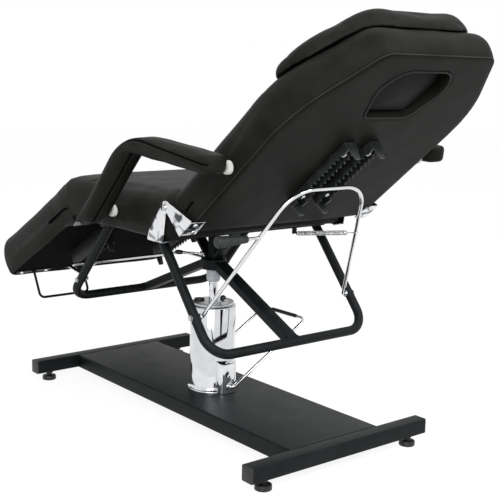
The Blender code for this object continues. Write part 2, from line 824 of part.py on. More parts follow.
# Upholstered sections, each in a frame with its origin on its hinge line
def section_corners(start, end, half):
    return [(start, -half), (end, -half), (end, half), (start, half)]


def back_corners(start, end, half, taper, head_half):
    return [(start, -half), (taper, -half), (end, -head_half), (end, head_half), (taper, half), (start, half)]


def board(name, corners, radii, parent, holes=()):
    outline = rounded(inset_corners(corners, BOARD_INSET), radii)
    made = sheet(name, [outline, *holes], BOARD_THICK)
    made.data.transform(Matrix.Translation((0, 0, BOARD_THICK / 2 - HINGE_RISE)))
    return place(made, LINING, parent)


def face_outline(clear):
    """The face hole's six-sided outline with rounded corners, moved in by a clearance."""
    foot = HOLE_CENTRE - HOLE_HALF_LENGTH
    head = HOLE_CENTRE + HOLE_HALF_LENGTH
    corners = [(foot, -HOLE_FOOT_HALF), (HOLE_WIDEST, -HOLE_HALF_WIDTH), (head, -HOLE_HEAD_HALF),
               (head, HOLE_HEAD_HALF), (HOLE_WIDEST, HOLE_HALF_WIDTH), (foot, HOLE_FOOT_HALF)]
    bends = [HOLE_FOOT_BEND, HOLE_SIDE_BEND, HOLE_HEAD_BEND]
    return rounded(inset_corners(corners, clear), [radius - clear for radius in bends + bends[::-1]], 6)


SEAT_CORNERS = section_corners(-SEAT_LENGTH + HINGE_GAP, -HINGE_GAP, CUSHION_HALF_WIDTH)
BACK_CORNERS = back_corners(HINGE_GAP, BACK_LENGTH, CUSHION_HALF_WIDTH, BACK_TAPER_START, BACK_HEAD_HALF_WIDTH)
LEG_CORNERS = section_corners(-LEG_LENGTH, -HINGE_GAP, CUSHION_HALF_WIDTH)
SEAT_RADII = [0.02] * 4
BACK_RADII = [0.02, 0.20, 0.05, 0.05, 0.20, 0.02]
LEG_RADII = [0.046, 0.02, 0.02, 0.046]
SEAT = empty("seat_frame", BACK_HINGE, TABLE)
SEAT_FOOT = empty("seat_foot_end", LEG_HINGE, TABLE)
FACE_HOLE = face_outline(0.0)

board("seat_board", SEAT_CORNERS, SEAT_RADII, SEAT)
board("leg_board", LEG_CORNERS, LEG_RADII, LEG).location.z = LEG_LIFT
board("back_board", BACK_CORNERS, BACK_RADII, BACK, [FACE_HOLE])
SIDE = pad_levels(CUSHION_BASE, CUSHION_TOP)
PEAK = CUSHION_TOP + CROWN
place(cushion("seat_cushion", SEAT_CORNERS, SEAT_RADII, SIDE, PEAK), LEATHER, SEAT)
LEG_SIDE = pad_levels(CUSHION_BASE, CUSHION_TOP + LEG_EXTRA)
leg_cushion = cushion("leg_cushion", LEG_CORNERS, LEG_RADII, LEG_SIDE, PEAK + LEG_EXTRA)
place(leg_cushion, LEATHER, LEG).location.z = LEG_LIFT
back_cushion = place(cushion("back_cushion", BACK_CORNERS, BACK_RADII, SIDE, PEAK, HEAD_THIN), LEATHER, BACK)
face_cut = sheet("face_hole", [FACE_HOLE], 4 * HINGE_RISE)
boolean(back_cushion, face_cut, "DIFFERENCE", BACK)


def face_plug():
    shape = face_outline(PLUG_CLEAR)
    low = PLUG_RECESS - HINGE_RISE
    high = PLUG_TOP
    plug = sheet("face_plug", [shape], high - low, 0.012)
    smooth(plug.data, 50)
    plug.data.transform(Matrix.Translation((0, 0, (low + high) / 2)))
    return place(plug, LEATHER, BACK, (HOLE_CENTRE, 0, 0))


def head_pillow():
    corners = back_corners(
        PILLOW_START, BACK_LENGTH - PILLOW_END_INSET, PILLOW_HALF_WIDTH, BACK_TAPER_START + 0.06,
        PILLOW_HEAD_HALF_WIDTH,
    )
    low = PEAK - PILLOW_SINK
    levels = [(PILLOW_EDGE * inset, height) for inset, height in pad_levels(low, low + PILLOW_HEIGHT)[:-1]]
    radii = [0.03, 0.16, 0.10, 0.10, 0.16, 0.03]
    pillow = cushion("head_pillow", corners, radii, levels, low + PILLOW_HEIGHT + CROWN)
    place(pillow, LEATHER, BACK, (PILLOW_START, 0, low))
    under = [(inset - GAP, height + GAP) for inset, height in SIDE]
    seat = cushion("pillow_seat", BACK_CORNERS, BACK_RADII, under, PEAK + GAP, HEAD_THIN)
    return boolean(pillow, seat, "DIFFERENCE", BACK)


face_plug()
head_pillow()


# Hinge hardware
def hinge_pin(name, sign):
    """The rivet through both plates of a hinge, with its head outside."""
    inner = HINGE_PLATE_Y + PLATE_SHEET / 2
    outer = HINGE_PLATE_Y + 2 * PLATE_SHEET + 2 * GAP
    pin = turned(
        name,
        [
            (0.0, outer + PIN_HEAD),
            (PIN_HEAD_RADIUS * 0.7, outer + PIN_HEAD),
            (PIN_HEAD_RADIUS, outer + PIN_HEAD * 0.5),
            (PIN_HEAD_RADIUS, outer),
            (PIN_RADIUS, outer),
            (PIN_RADIUS, inner),
            (0.0, inner),
        ],
        24,
    )
    pin = as_mesh(pin)
    pin.data.transform(Matrix.Rotation(-sign * math.pi / 2, 4, "X"))
    return pin


def hinge_plate(name, sign, reach, layer, parent, flange_width, rise, ear=HINGE_EAR, skin=CHROME):
    """A sheet on one side: an ear round the pin, a foot along the section's edge and a flange under it."""
    drop = -rise - GAP - PLATE_SHEET
    toward = 1 if reach > 0 else -1
    foot = drop + PLATE_SHEET / 5
    shape = [(toward * HINGE_FLANGE_START, foot), (reach, foot), (reach, foot + 1.25 * ear), (toward * ear, ear * 0.4),
             (toward * ear * 0.4, ear), (-toward * ear * 0.4, ear), (-toward * ear, ear * 0.4),
             (-toward * ear, -ear * 0.45)]
    if toward < 0:
        shape.reverse()
    inner = HINGE_PLATE_Y + layer * (PLATE_SHEET + GAP)
    plate = upright(sheet(name, [shape], PLATE_SHEET), sign * (inner + PLATE_SHEET / 2))
    plate = place(plate, skin, parent)
    low_x = toward * (HINGE_FLANGE_START + 0.001)
    high_x = low_x + toward * HINGE_FLANGE_LENGTH
    sides = sorted((sign * (inner + PLATE_SHEET / 2), sign * (inner - flange_width)))
    flange = box(
        f"{name}_flange",
        (min(low_x, high_x), sides[0], drop),
        (max(low_x, high_x), sides[1], drop + PLATE_SHEET),
    )
    boolean(plate, flange, "UNION", parent)
    if layer == 0:
        return boolean(plate, hinge_pin(f"{name}_pin", sign), "UNION", parent)
    hole = cylinder(f"{name}_hole", (0, sign * 0.2, 0), (0, sign * 0.4, 0), PIN_RADIUS + GAP)
    return boolean(plate, hole, "DIFFERENCE", parent)


for side, sign in SIDES.items():
    hinge_plate(f"hinge_seat_plate_{side}", sign, -HINGE_PLATE_LENGTH, 0, SEAT, SEAT_FLANGE, HINGE_RISE)
    hinge_plate(f"hinge_back_plate_{side}", sign, HINGE_PLATE_LENGTH, 1, BACK, BACK_FLANGE, HINGE_RISE)
    hinge_plate(f"leg_seat_plate_{side}", sign, LEG_PLATE_LENGTH, 0, SEAT_FOOT, SEAT_FLANGE, LEG_HINGE_RISE, LEG_EAR, COAT)
    hinge_plate(f"leg_hinge_plate_{side}", sign, -LEG_PLATE_LENGTH, 1, LEG, SEAT_FLANGE, LEG_HINGE_RISE, LEG_EAR, COAT)


# Racks: saw teeth below a section's board, with an end stop at both ends
def rack(name, start, length, height, y, parent, toward):
    base = -HINGE_RISE - GAP
    tip = -HINGE_RISE - height
    count = int((length - 2 * RACK_END_LENGTH) / TOOTH_PITCH)
    first = start + (length - count * TOOTH_PITCH) / 2
    stop = tip - RACK_END_RISE
    shape = [(start, base), (start, stop + RACK_END_RISE / 2), (start + RACK_END_LENGTH / 2, stop)]
    for i in range(count):
        shape.append((first + i * TOOTH_PITCH, tip))
        shape.append((first + (i + 0.12) * TOOTH_PITCH, tip + TOOTH_DEPTH))
    shape.append((first + count * TOOTH_PITCH, tip))
    end = start + length
    shape += [(end - RACK_END_LENGTH / 2, stop), (end, stop + RACK_END_RISE / 2), (end, base)]
    shape = [(toward * x, z) for x, z in shape]
    if toward > 0:
        shape.reverse()
    made = upright(sheet(name, [shape], RACK_WIDTH), y)
    return place(made, PLASTIC, parent)


for side, sign in SIDES.items():
    rack(f"back_rack_{side}", BACK_RACK_START, BACK_RACK_LENGTH, RACK_HEIGHT, sign * BACK_RACK_Y, BACK, 1)
    below = rack(f"leg_rack_{side}", LEG_RACK_START, LEG_RACK_LENGTH, LEG_RACK_HEIGHT, sign * LEG_RACK_Y, LEG, -1)
    below.location.z = LEG_LIFT


# Bails


def bail(name, pivot, bar, bar_half, bend_radius):
    """A bent rod from one loop leg up to the racks, across them and back down."""
    start = pivot + Vector((0, BAIL_END_Y, 0))
    knee = pivot + Vector((0, BAIL_KNEE_Y, 0))
    corner = bar + Vector((0, bar_half, 0))
    mirror = Vector((1, -1, 1))
    near = bend([start, knee, corner], BAIL_PIVOT_CLEAR, 3)[:-1]
    top = bend([knee, corner, corner * mirror, knee * mirror], bend_radius, 5)[1:-1]
    other = [spot * mirror for spot in reversed(near)]
    made = wire(name, near + top + other, BAIL_RADIUS)
    return place(made, CHROME, origin=pivot)


def bail_point(share, sign):
    """A point on the back bail's arm, a share of the way from its pivot to its bar."""
    start = BAIL_PIVOT + Vector((0, sign * BAIL_KNEE_Y, 0))
    end = BACK_BAR + Vector((0, sign * BAIL_BAR_HALF, 0))
    return start.lerp(end, share)


def off_arm(direction, radius, sign):
    """How far from an arm's centre line a round end of this radius clears the arm, along a direction."""
    arm = (bail_point(1.0, sign) - bail_point(0.0, sign)).normalized()
    lean = abs(arm.dot(direction))
    return (BAIL_RADIUS + radius * lean) / math.sqrt(1 - lean * lean) + GAP


def bail_grip():
    """A tapered hand grip on a stub that reaches out from the bail's left arm."""
    spot = bail_point(GRIP_ALONG, -1)
    stub = BAIL_RADIUS * 0.8
    seat = off_arm(Vector((0, -1, 0)), stub, -1)
    profile = [
        (0.0, -GRIP_STUB - GRIP_LENGTH),
        (GRIP_FAT * 0.6, -GRIP_STUB - GRIP_LENGTH),
        (GRIP_FAT, -GRIP_STUB - GRIP_LENGTH + 0.008),
        (GRIP_FAT * 0.92, -GRIP_STUB - GRIP_LENGTH * 0.5),
        (GRIP_THIN, -GRIP_STUB - 0.004),
        (GRIP_THIN * 0.8, -GRIP_STUB),
        (stub, -GRIP_STUB),
        (stub, -seat),
        (0.0, -seat),
    ]
    grip = turned("bail_grip", [(radius, -along) for radius, along in profile], 24)
    grip = as_mesh(grip)
    grip.data.transform(Matrix.Translation(spot) @ Matrix.Rotation(math.pi / 2, 4, "X"))
    return place(grip, PLASTIC, origin=BAIL_PIVOT)


def bail_spring():
    """A tension spring from the rear rail back to the bail's right arm, with straight ends."""
    end = bail_point(GRIP_ALONG, 1)
    start = Vector((LUG_FACE_X, SPRING_Y, RAIL_BOTTOM - LUG_DROP * 0.75))
    axis = (end - start).normalized()
    start = start + axis * (SPRING_WIRE + 2 * GAP)
    end = end - axis * off_arm(axis, SPRING_WIRE, 1)
    length = (end - start).length
    across = axis.orthogonal().normalized()
    other = axis.cross(across)
    count = SPRING_COILS * 8
    turns = np.linspace(0, 2 * math.pi * SPRING_COILS, count + 1)
    along = np.linspace(SPRING_HOOK_LENGTH * 0.25, length - SPRING_HOOK_LENGTH, count + 1)
    coil = [
        start + axis * float(a) + (across * math.cos(t) + other * math.sin(t)) * SPRING_RADIUS
        for a, t in zip(along, turns)
    ]
    path = [start, start + axis * (SPRING_HOOK_LENGTH * 0.1), *coil]
    path += [end - axis * (SPRING_HOOK_LENGTH * 0.85), end]
    spots = np.array([tuple(spot) for spot in coil])
    apart = np.linalg.norm(spots[:, None] - spots[None], axis=2)
    near = np.abs(np.subtract.outer(range(len(spots)), range(len(spots)))) < 5
    apart[near] = 1.0
    print(f"bail_spring least gap to itself {1000 * (apart.min() - 2 * SPRING_WIRE):.2f} mm")
    spring = wire("bail_spring", path, SPRING_WIRE, 6)
    return place(spring, STEEL, origin=BAIL_PIVOT)


bail("back_bail", BAIL_PIVOT, BACK_BAR, BAIL_BAR_HALF, BAIL_BEND)
bail("leg_bail", LEG_PIVOT, LEG_BAR, LEG_BAR_HALF, LEG_BAIL_BEND)
bail_grip()
bail_spring()


def pull_handle():
    """A wire loop that hangs square to the leg rest's board near its foot end."""
    top = -LEG_HINGE_RISE - GAP
    path = [
        (-HANDLE_ALONG, HANDLE_Y, top),
        (-HANDLE_ALONG, HANDLE_Y, top - HANDLE_DROP),
        (-HANDLE_ALONG, HANDLE_Y + HANDLE_WIDTH, top - HANDLE_DROP),
        (-HANDLE_ALONG, HANDLE_Y + HANDLE_WIDTH, top),
    ]
    return place(wire("pull_handle", bend(path, HANDLE_BEND), HANDLE_WIRE), COAT, LEG)


pull_handle()


# Armrests: a post from the seat and a pad from the backrest, jointed at the elbow
def armrest(side, sign):
    seat_pivot = Vector((ARM_SEAT_PIVOT[0], 0, SEAT_UNDERSIDE + ARM_SEAT_PIVOT[1]))
    elbow = Vector((ARM_ELBOW[0], 0, SEAT_UNDERSIDE + ARM_ELBOW[1]))
    back_pivot = Vector((ARM_BACK_PIVOT[0], 0, SEAT_UNDERSIDE + ARM_BACK_PIVOT[1]))
    middle = sign * (ARM_INNER_Y + ARM_WIDTH / 2)
    post_turn = math.radians(POST_ANGLE_DEG)
    pad_turn = math.radians(PAD_ANGLE_DEG)
    up_post = Vector((math.cos(post_turn), 0, math.sin(post_turn)))
    out_post = Vector((-up_post.z, 0, up_post.x))
    along_pad = Vector((math.cos(pad_turn), 0, math.sin(pad_turn)))
    up_pad = Vector((-along_pad.z, 0, along_pad.x))
    mitre = (out_post + up_pad).normalized()
    lean = (PAD_HEIGHT - POST_THICK * out_post.dot(up_pad)) / up_post.dot(up_pad)
    corner = elbow + out_post * POST_THICK + up_post * lean
    turn = post_turn - pad_turn
    crest = corner - up_post * ARM_BEND * math.tan(turn / 2) + (mitre - out_post) * ARM_BEND
    tangent = (up_post + along_pad).normalized() * ARM_BEND * math.tan(turn / 4)
    heel = elbow - up_post * POST_LENGTH
    toe = heel + out_post * POST_THICK - up_post * POST_HEEL
    gap = ARM_ELBOW_GAP
    post_shape = [heel, elbow - up_post * gap, crest - up_post * gap, crest - tangent, toe]
    end = elbow + along_pad * PAD_LENGTH
    pad_shape = [elbow + along_pad * gap, end, end + up_pad * PAD_HEIGHT, crest + tangent, crest + along_pad * gap]
    for name, shape, radii, origin in (
        (f"armrest_post_{side}", post_shape, [0.016, 0.004, 0.003, 0.88 * ARM_BEND, 0.018], seat_pivot),
        (f"armrest_pad_{side}", pad_shape, [0.004, 0.018, 0.026, 0.88 * ARM_BEND, 0.003], elbow),
    ):
        outline = rounded([(spot.x, spot.z) for spot in shape], radii)
        made = upright(sheet(name, [outline], ARM_WIDTH, ARM_ROUND, 2), middle)
        smooth(made.data, 50)
        place(made, LEATHER, origin=Vector((origin.x, middle, origin.z)))
    back_height = (BACK_TURN.inverted() @ (back_pivot - BACK_HINGE)).z
    for name, pivot, height in (
        (f"arm_spacer_seat_{side}", seat_pivot, seat_pivot.z - HINGE_Z),
        (f"arm_spacer_back_{side}", back_pivot, back_height),
    ):
        insets = np.interp(height + SPACER_RADIUS * np.linspace(-1, 1, 15), *zip(*[(z, d) for d, z in SIDE]))
        inner = CUSHION_HALF_WIDTH - float(insets.min()) + GAP
        disc = cylinder(
            name, (pivot.x, sign * inner, pivot.z), (pivot.x, sign * (ARM_INNER_Y - GAP), pivot.z), SPACER_RADIUS
        )
        smooth(disc.data)
        place(disc, CREAM, origin=Vector((pivot.x, sign * inner, pivot.z)))


for side, sign in SIDES.items():
    armrest(side, sign)
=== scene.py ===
import math

import bmesh
import bpy
import numpy as np
from mathutils import Matrix, Vector
from mathutils.bvhtree import BVHTree


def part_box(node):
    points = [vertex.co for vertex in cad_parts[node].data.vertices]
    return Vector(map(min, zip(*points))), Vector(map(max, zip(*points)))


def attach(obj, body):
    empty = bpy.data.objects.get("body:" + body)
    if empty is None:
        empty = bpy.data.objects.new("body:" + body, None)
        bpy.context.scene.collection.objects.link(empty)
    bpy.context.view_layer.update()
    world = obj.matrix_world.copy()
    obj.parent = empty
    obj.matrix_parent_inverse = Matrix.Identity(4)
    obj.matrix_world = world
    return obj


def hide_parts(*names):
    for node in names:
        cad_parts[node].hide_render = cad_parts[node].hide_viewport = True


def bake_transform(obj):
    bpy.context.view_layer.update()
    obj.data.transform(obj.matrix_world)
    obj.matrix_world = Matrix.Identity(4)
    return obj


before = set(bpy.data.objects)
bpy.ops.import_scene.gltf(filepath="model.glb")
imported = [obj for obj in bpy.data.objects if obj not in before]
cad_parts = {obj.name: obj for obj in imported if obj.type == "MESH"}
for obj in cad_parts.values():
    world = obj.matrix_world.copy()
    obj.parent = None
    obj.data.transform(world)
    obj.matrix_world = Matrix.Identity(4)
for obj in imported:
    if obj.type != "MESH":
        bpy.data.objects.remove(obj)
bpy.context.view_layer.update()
print("frame loaded:", len(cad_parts), "solids")

# Every place below is in metres from the pump column's foot, x to the head end and z up
columnX = -0.02292
columnShift = np.array([columnX, 0, 0])
clearance = 0.0003  # between pieces that touch
sides = {"left": -1, "right": 1}
ends = {"head": 1, "foot": -1}

# Camera
view = {
    "place": (2.18708, -1.657, 0.940),
    "yaw": 141.643,
    "pitch": -9.195,
    "roll": 0.957,
    "lens": 71.51,
    "centre": (239.487, 240.991),  # the lens axis in the 500 x 500 picture
}


def makeCamera(v):
    yaw, pitch, roll = (math.radians(v[key]) for key in ("yaw", "pitch", "roll"))
    ahead = Vector((math.cos(yaw) * math.cos(pitch), math.sin(yaw) * math.cos(pitch), math.sin(pitch)))
    right = Vector((math.sin(yaw), -math.cos(yaw), 0))
    up = right.cross(ahead)
    across = math.cos(roll) * right + math.sin(roll) * up
    upward = -math.sin(roll) * right + math.cos(roll) * up
    data = bpy.data.cameras.new("camera")
    data.lens = v["lens"]
    data.sensor_width = 36
    data.shift_x = (250 - v["centre"][0]) / 500
    data.shift_y = (v["centre"][1] - 250) / 500
    camera = bpy.data.objects.new("camera", data)
    bpy.context.scene.collection.objects.link(camera)
    camera.matrix_world = Matrix((across, upward, -ahead)).transposed().to_4x4()
    camera.location = v["place"]
    bpy.context.scene.camera = camera


makeCamera(view)
print("camera set")


# Materials
def linear(hexColour):  # an sRGB hex value as linear red, green, blue, alpha
    srgb = np.array([int(hexColour[i:i + 2], 16) for i in (1, 3, 5)]) / 255
    low = srgb / 12.92
    high = ((srgb + 0.055) / 1.055) ** 2.4
    return (*np.where(srgb <= 0.04045, low, high).tolist(), 1.0)


def addNode(tree, kind, values=None, links=None, **settings):
    node = tree.nodes.new(kind)
    for key, value in settings.items():
        setattr(node, key, value)
    for key, value in (values or {}).items():
        node.inputs[key].default_value = value
    for key, source in (links or {}).items():
        tree.links.new(source, node.inputs[key])
    return node


def newMaterial(name, **constants):
    made = bpy.data.materials.new(name)
    made.use_nodes = True
    tree = made.node_tree
    shader = tree.nodes["Principled BSDF"]
    for key, value in constants.items():
        shader.inputs[key.replace("_", " ")].default_value = value
    place = addNode(tree, "ShaderNodeTexCoord").outputs["Object"]
    return made, tree, shader, place


def twoTone(tree, shader, source, dark, light, low=0.35, high=0.65):  # base colour between two hex values
    ramp = addNode(tree, "ShaderNodeValToRGB", links={"Fac": source})
    ramp.color_ramp.elements[0].position = low
    ramp.color_ramp.elements[0].color = linear(dark)
    ramp.color_ramp.elements[1].position = high
    ramp.color_ramp.elements[1].color = linear(light)
    tree.links.new(ramp.outputs["Color"], shader.inputs["Base Color"])


def spread(tree, shader, source, low, high):  # roughness between two values
    span = addNode(tree, "ShaderNodeMapRange", {"To Min": low, "To Max": high}, {"Value": source})
    tree.links.new(span.outputs["Result"], shader.inputs["Roughness"])


def embossed(tree, shader, source, depth, strength):  # bump from a height between 0 and 1
    bump = addNode(tree, "ShaderNodeBump", {"Strength": strength, "Distance": depth}, {"Height": source})
    tree.links.new(bump.outputs["Normal"], shader.inputs["Normal"])


def leatherette(name, dark, light, grain, low, high):
    # PU leather on a knit backing, roller embossed: soft pebbles, a satin skin, shade drifting along the hide
    made, tree, shader, place = newMaterial(name, Specular_IOR_Level=0.06)
    drift = addNode(tree, "ShaderNodeTexNoise", {"Scale": 1 / 0.070, "Detail": 3.0}, {"Vector": place})
    warp = addNode(tree, "ShaderNodeTexNoise", {"Scale": 1 / (3 * grain), "Detail": 2.0}, {"Vector": place})
    push = addNode(tree, "ShaderNodeVectorMath", {1: (grain, grain, grain)}, {0: warp.outputs["Color"]},
                   operation="MULTIPLY")
    bent = addNode(tree, "ShaderNodeVectorMath", links={0: place, 1: push.outputs["Vector"]}, operation="ADD")
    pebble = addNode(
        tree, "ShaderNodeTexVoronoi", {"Scale": 1 / grain}, {"Vector": bent.outputs["Vector"]},
        feature="DISTANCE_TO_EDGE",
    )
    crease = addNode(tree, "ShaderNodeMapRange", {"From Max": 0.22}, {"Value": pebble.outputs["Distance"]})
    pore = addNode(tree, "ShaderNodeTexNoise", {"Scale": 4 / grain, "Detail": 2.0}, {"Vector": place})
    height = addNode(tree, "ShaderNodeMath", {1: 0.3},
                     {0: pore.outputs["Fac"], 2: crease.outputs["Result"]}, operation="MULTIPLY_ADD")
    twoTone(tree, shader, drift.outputs["Fac"], dark, light)
    spread(tree, shader, drift.outputs["Fac"], low, high)
    embossed(tree, shader, height.outputs["Value"], 0.00022, 0.55)
    return made


def powderCoat(name, dark, light):
    # polyester powder baked on steel: fine orange peel of about a millimetre, low satin gloss
    made, tree, shader, place = newMaterial(name, Specular_IOR_Level=0.12)
    drift = addNode(tree, "ShaderNodeTexNoise", {"Scale": 1 / 0.055, "Detail": 4.0}, {"Vector": place})
    peel = addNode(tree, "ShaderNodeTexNoise", {"Scale": 1 / 0.0013, "Detail": 2.0}, {"Vector": place})
    twoTone(tree, shader, drift.outputs["Fac"], dark, light)
    spread(tree, shader, drift.outputs["Fac"], 0.40, 0.56)
    embossed(tree, shader, peel.outputs["Fac"], 0.00016, 0.5)
    return made


def platedMetal(name, dark, light, low, high, waves):
    # electroplated steel: a mirror over rolled metal, so a faint long ripple and hand marks in the gloss
    made, tree, shader, place = newMaterial(name, Metallic=1.0)
    marks = addNode(tree, "ShaderNodeTexNoise", {"Scale": 1 / 0.028, "Detail": 5.0}, {"Vector": place})
    ripple = addNode(tree, "ShaderNodeTexNoise", {"Scale": 1 / 0.045, "Detail": 1.0}, {"Vector": place})
    twoTone(tree, shader, marks.outputs["Fac"], dark, light)
    spread(tree, shader, marks.outputs["Fac"], low, high)
    embossed(tree, shader, ripple.outputs["Fac"], waves, 0.5)
    return made


def mouldedPlastic(name, dark, light, low, high, grain, gloss=0.45):
    # injection moulded polymer: spark-eroded grain from the tool and flow shade
    made, tree, shader, place = newMaterial(name, Specular_IOR_Level=gloss)
    flow = addNode(tree, "ShaderNodeTexNoise", {"Scale": 1 / 0.020, "Detail": 4.0}, {"Vector": place})
    spark = addNode(tree, "ShaderNodeTexNoise", {"Scale": 1 / grain, "Detail": 3.0}, {"Vector": place})
    twoTone(tree, shader, flow.outputs["Fac"], dark, light)
    spread(tree, shader, flow.outputs["Fac"], low, high)
    embossed(tree, shader, spark.outputs["Fac"], 0.0001, 0.4)
    return made


def paintedReflectionChrome(name, dark, light, size):
    # plated sheet out of a press: crisp light and dark bands painted into the base colour as painted
    # reflections, over a faint wave bump and varying gloss
    made, tree, shader, place = newMaterial(name, Metallic=1.0)
    wave = addNode(tree, "ShaderNodeTexNoise", {"Scale": 1 / size, "Detail": 1.0, "Distortion": 0.6},
                   {"Vector": place})
    paintedBands = addNode(tree, "ShaderNodeMapRange", {"From Min": 0.32, "From Max": 0.62},
                   {"Value": wave.outputs["Fac"]})
    twoTone(tree, shader, paintedBands.outputs["Result"], dark, light)
    spread(tree, shader, wave.outputs["Fac"], 0.05, 0.16)
    embossed(tree, shader, wave.outputs["Fac"], 0.0002, 0.5)
    return made


# 1 mm grain drawn at 2.2 mm
leather = leatherette("blackLeatherette", "#141412", "#1c1c1a", 0.0022, 0.44, 0.56)
coat = powderCoat("blackPowderCoat", "#0e1213", "#161a1b")
chrome = platedMetal("chromePlate", "#d2d3d6", "#dcdde0", 0.04, 0.08, 0.000008)
zinc = platedMetal("brightZinc", "#a9abae", "#c6c8ca", 0.16, 0.30, 0.00002)
blackNylon = mouldedPlastic("blackNylon", "#101111", "#181919", 0.38, 0.52, 0.0008)
# lighter and greener than the black nylon: a painted highlight for the back racks' lit fins
rackNylonPaintedHighlight = mouldedPlastic("paintedHighlightNylon", "#1d2120", "#2b2f2e", 0.26, 0.38, 0.0009)
gripRubber = mouldedPlastic("gripRubber", "#1a1e1d", "#262b2a", 0.50, 0.66, 0.0010)
greyNylon = mouldedPlastic("greyNylon", "#b2b9c0", "#cdd3d9", 0.24, 0.36, 0.0010)
creamNylon = mouldedPlastic("creamNylon", "#d9d8d1", "#e8e7e1", 0.30, 0.42, 0.0010)
# a lighter copy of the leatherette, painted light against the shade of its recess; grain drawn at 2.6 mm
plugVinylPaintedLight = leatherette("plugVinylPaintedLight", "#191b1a", "#222423", 0.0026, 0.46, 0.58)
# lighter than the leatherette: a painted highlight along the rolled edge
weltPaintedHighlight = leatherette("weltPaintedHighlight", "#2b2b29", "#373734", 0.0020, 0.34, 0.44)
strapSteel = mouldedPlastic("galvanisedStrap", "#5c5e5d", "#6f7170", 0.42, 0.56, 0.0012)
# the hinge plates' chrome, its light and dark bands painted reflections
chromePaintedReflections = paintedReflectionChrome("chromePaintedReflections", "#4c4e52", "#dfe0e3", 0.034)
thread = mouldedPlastic("polyesterThread", "#020202", "#050505", 0.80, 0.92, 0.0006, 0.02)
# non-woven, dull; its near-black tone is partly painted shade for the undersides of the seat and leg rest
dustCloth = mouldedPlastic("spunbondCloth", "#131312", "#191918", 0.82, 0.94, 0.0012, 0.02)
print("materials made")


# Shapes: each is an array of points and a list of faces
def unit(vector):
    vector = np.asarray(vector, float)
    return vector / np.linalg.norm(vector, axis=-1, keepdims=True)


def gridFaces(rows, columns):  # quads between neighbouring rows of a grid whose columns close up
    here = np.arange(rows * columns).reshape(rows, columns)
    beside = np.roll(here, -1, axis=1)
    return np.stack([here[:-1], beside[:-1], beside[1:], here[1:]], axis=-1).reshape(-1, 4).tolist()


def tubeGrid(grid, ring=False):  # a grid of sections as a closed skin, its ends capped unless it is a ring
    rows, columns = grid.shape[:2]
    if ring:
        grid = np.concatenate([grid, grid[:1]])
        return grid.reshape(-1, 3), gridFaces(rows + 1, columns)
    last = np.arange((rows - 1) * columns, rows * columns).tolist()
    return grid.reshape(-1, 3), gridFaces(rows, columns) + [list(range(columns))[::-1], last]


def arcs(corners, radii, steps=8, closed=False):  # each corner becomes an arc tangent to both its sides
    corners = np.asarray(corners, float)
    count = len(corners)
    radii = np.broadcast_to(np.asarray(radii, float), count)
    path = [] if closed else [corners[:1]]
    for i in range(count) if closed else range(1, count - 1):
        before = unit(corners[i - 1] - corners[i])
        after = unit(corners[(i + 1) % count] - corners[i])
        half = math.acos(float(np.clip(before @ after, -1, 1))) / 2
        if radii[i] < 1e-6 or half > 1.569:
            path.append(corners[i][None])
            continue
        centre = corners[i] + unit(before + after) * radii[i] / math.sin(half)
        first = corners[i] + before * radii[i] / math.tan(half) - centre
        final = corners[i] + after * radii[i] / math.tan(half) - centre
        side = unit(final - first * (first @ final) / radii[i] ** 2) * radii[i]
        turn = np.linspace(0, math.pi - 2 * half, steps + 1)[:, None]
        path.append(centre + first * np.cos(turn) + side * np.sin(turn))
    return np.concatenate(path if closed else path + [corners[-1:]])


def evenly(path, step):  # the same path with points about a step apart
    path = np.asarray(path, float)
    along = np.concatenate([[0], np.cumsum(np.linalg.norm(np.diff(path, axis=0), axis=1))])
    keep = np.concatenate([[True], np.diff(along) > 1e-7])
    places = np.linspace(0, along[-1], max(int(along[-1] / step), 2) + 1)
    return np.stack([np.interp(places, along[keep], path[keep, k]) for k in range(path.shape[1])], axis=1)


def frames(path, ring=False):  # tangent and two cross directions at each point, turned with the least twist
    steps = unit(np.diff(path, axis=0))
    if ring:
        closing = unit(path[0] - path[-1])[None]
        ahead = unit(np.concatenate([closing + steps[:1], steps[:-1] + steps[1:], steps[-1:] + closing]))
    else:
        ahead = unit(np.concatenate([steps[:1], steps[:-1] + steps[1:], steps[-1:]]))
    start = np.eye(3)[np.argmin(np.abs(ahead).max(axis=0))]
    across = [unit(start - ahead[0] * (start @ ahead[0]))]
    for direction in ahead[1:]:
        across.append(unit(across[-1] - direction * (across[-1] @ direction)))
    across = np.array(across)
    return ahead, across, np.cross(ahead, across)


def circle(count):
    turn = np.linspace(0, 2 * math.pi, count, endpoint=False)
    return np.stack([np.cos(turn), np.sin(turn)], axis=1)


def rod(path, radius, count=16, blunt=0.25, ring=False):  # a circle carried along a path, its ends chamfered
    path = np.asarray(path, float)
    radius = np.broadcast_to(np.asarray(radius, float), len(path)).copy()
    if blunt and not ring:
        for first, second in ((0, 1), (-1, -2)):
            inward = unit(path[second] - path[first]) * radius[first] * blunt
            where = 1 if first == 0 else len(path) - 1
            path = np.insert(path, where, path[first] + inward, axis=0)
            radius = np.insert(radius, where, radius[first])
        radius[0] *= 1 - blunt
        radius[-1] *= 1 - blunt
    across, other = frames(path, ring)[1:]
    section = circle(count)
    grid = path[:, None] + radius[:, None, None] * (
        section[None, :, :1] * across[:, None] + section[None, :, 1:] * other[:, None]
    )
    return tubeGrid(grid, ring)


def crossWays(axis):  # two directions square to an axis
    start = np.eye(3)[np.argmin(np.abs(axis))]
    across = unit(start - axis * (start @ axis))
    return across, np.cross(axis, across)


def lathe(profile, at, axis=(0, 0, 1), count=48, twist=0.0):  # (radius, height) pairs turned about an axis
    axis = unit(axis)
    across, other = crossWays(axis)
    profile = np.asarray(profile, float)
    turn = np.linspace(0, 2 * math.pi, count, endpoint=False) + twist
    round2 = np.cos(turn)[None, :, None] * across + np.sin(turn)[None, :, None] * other
    grid = np.asarray(at, float) + profile[:, :1, None] * round2 + profile[:, 1:, None] * axis
    return tubeGrid(grid)


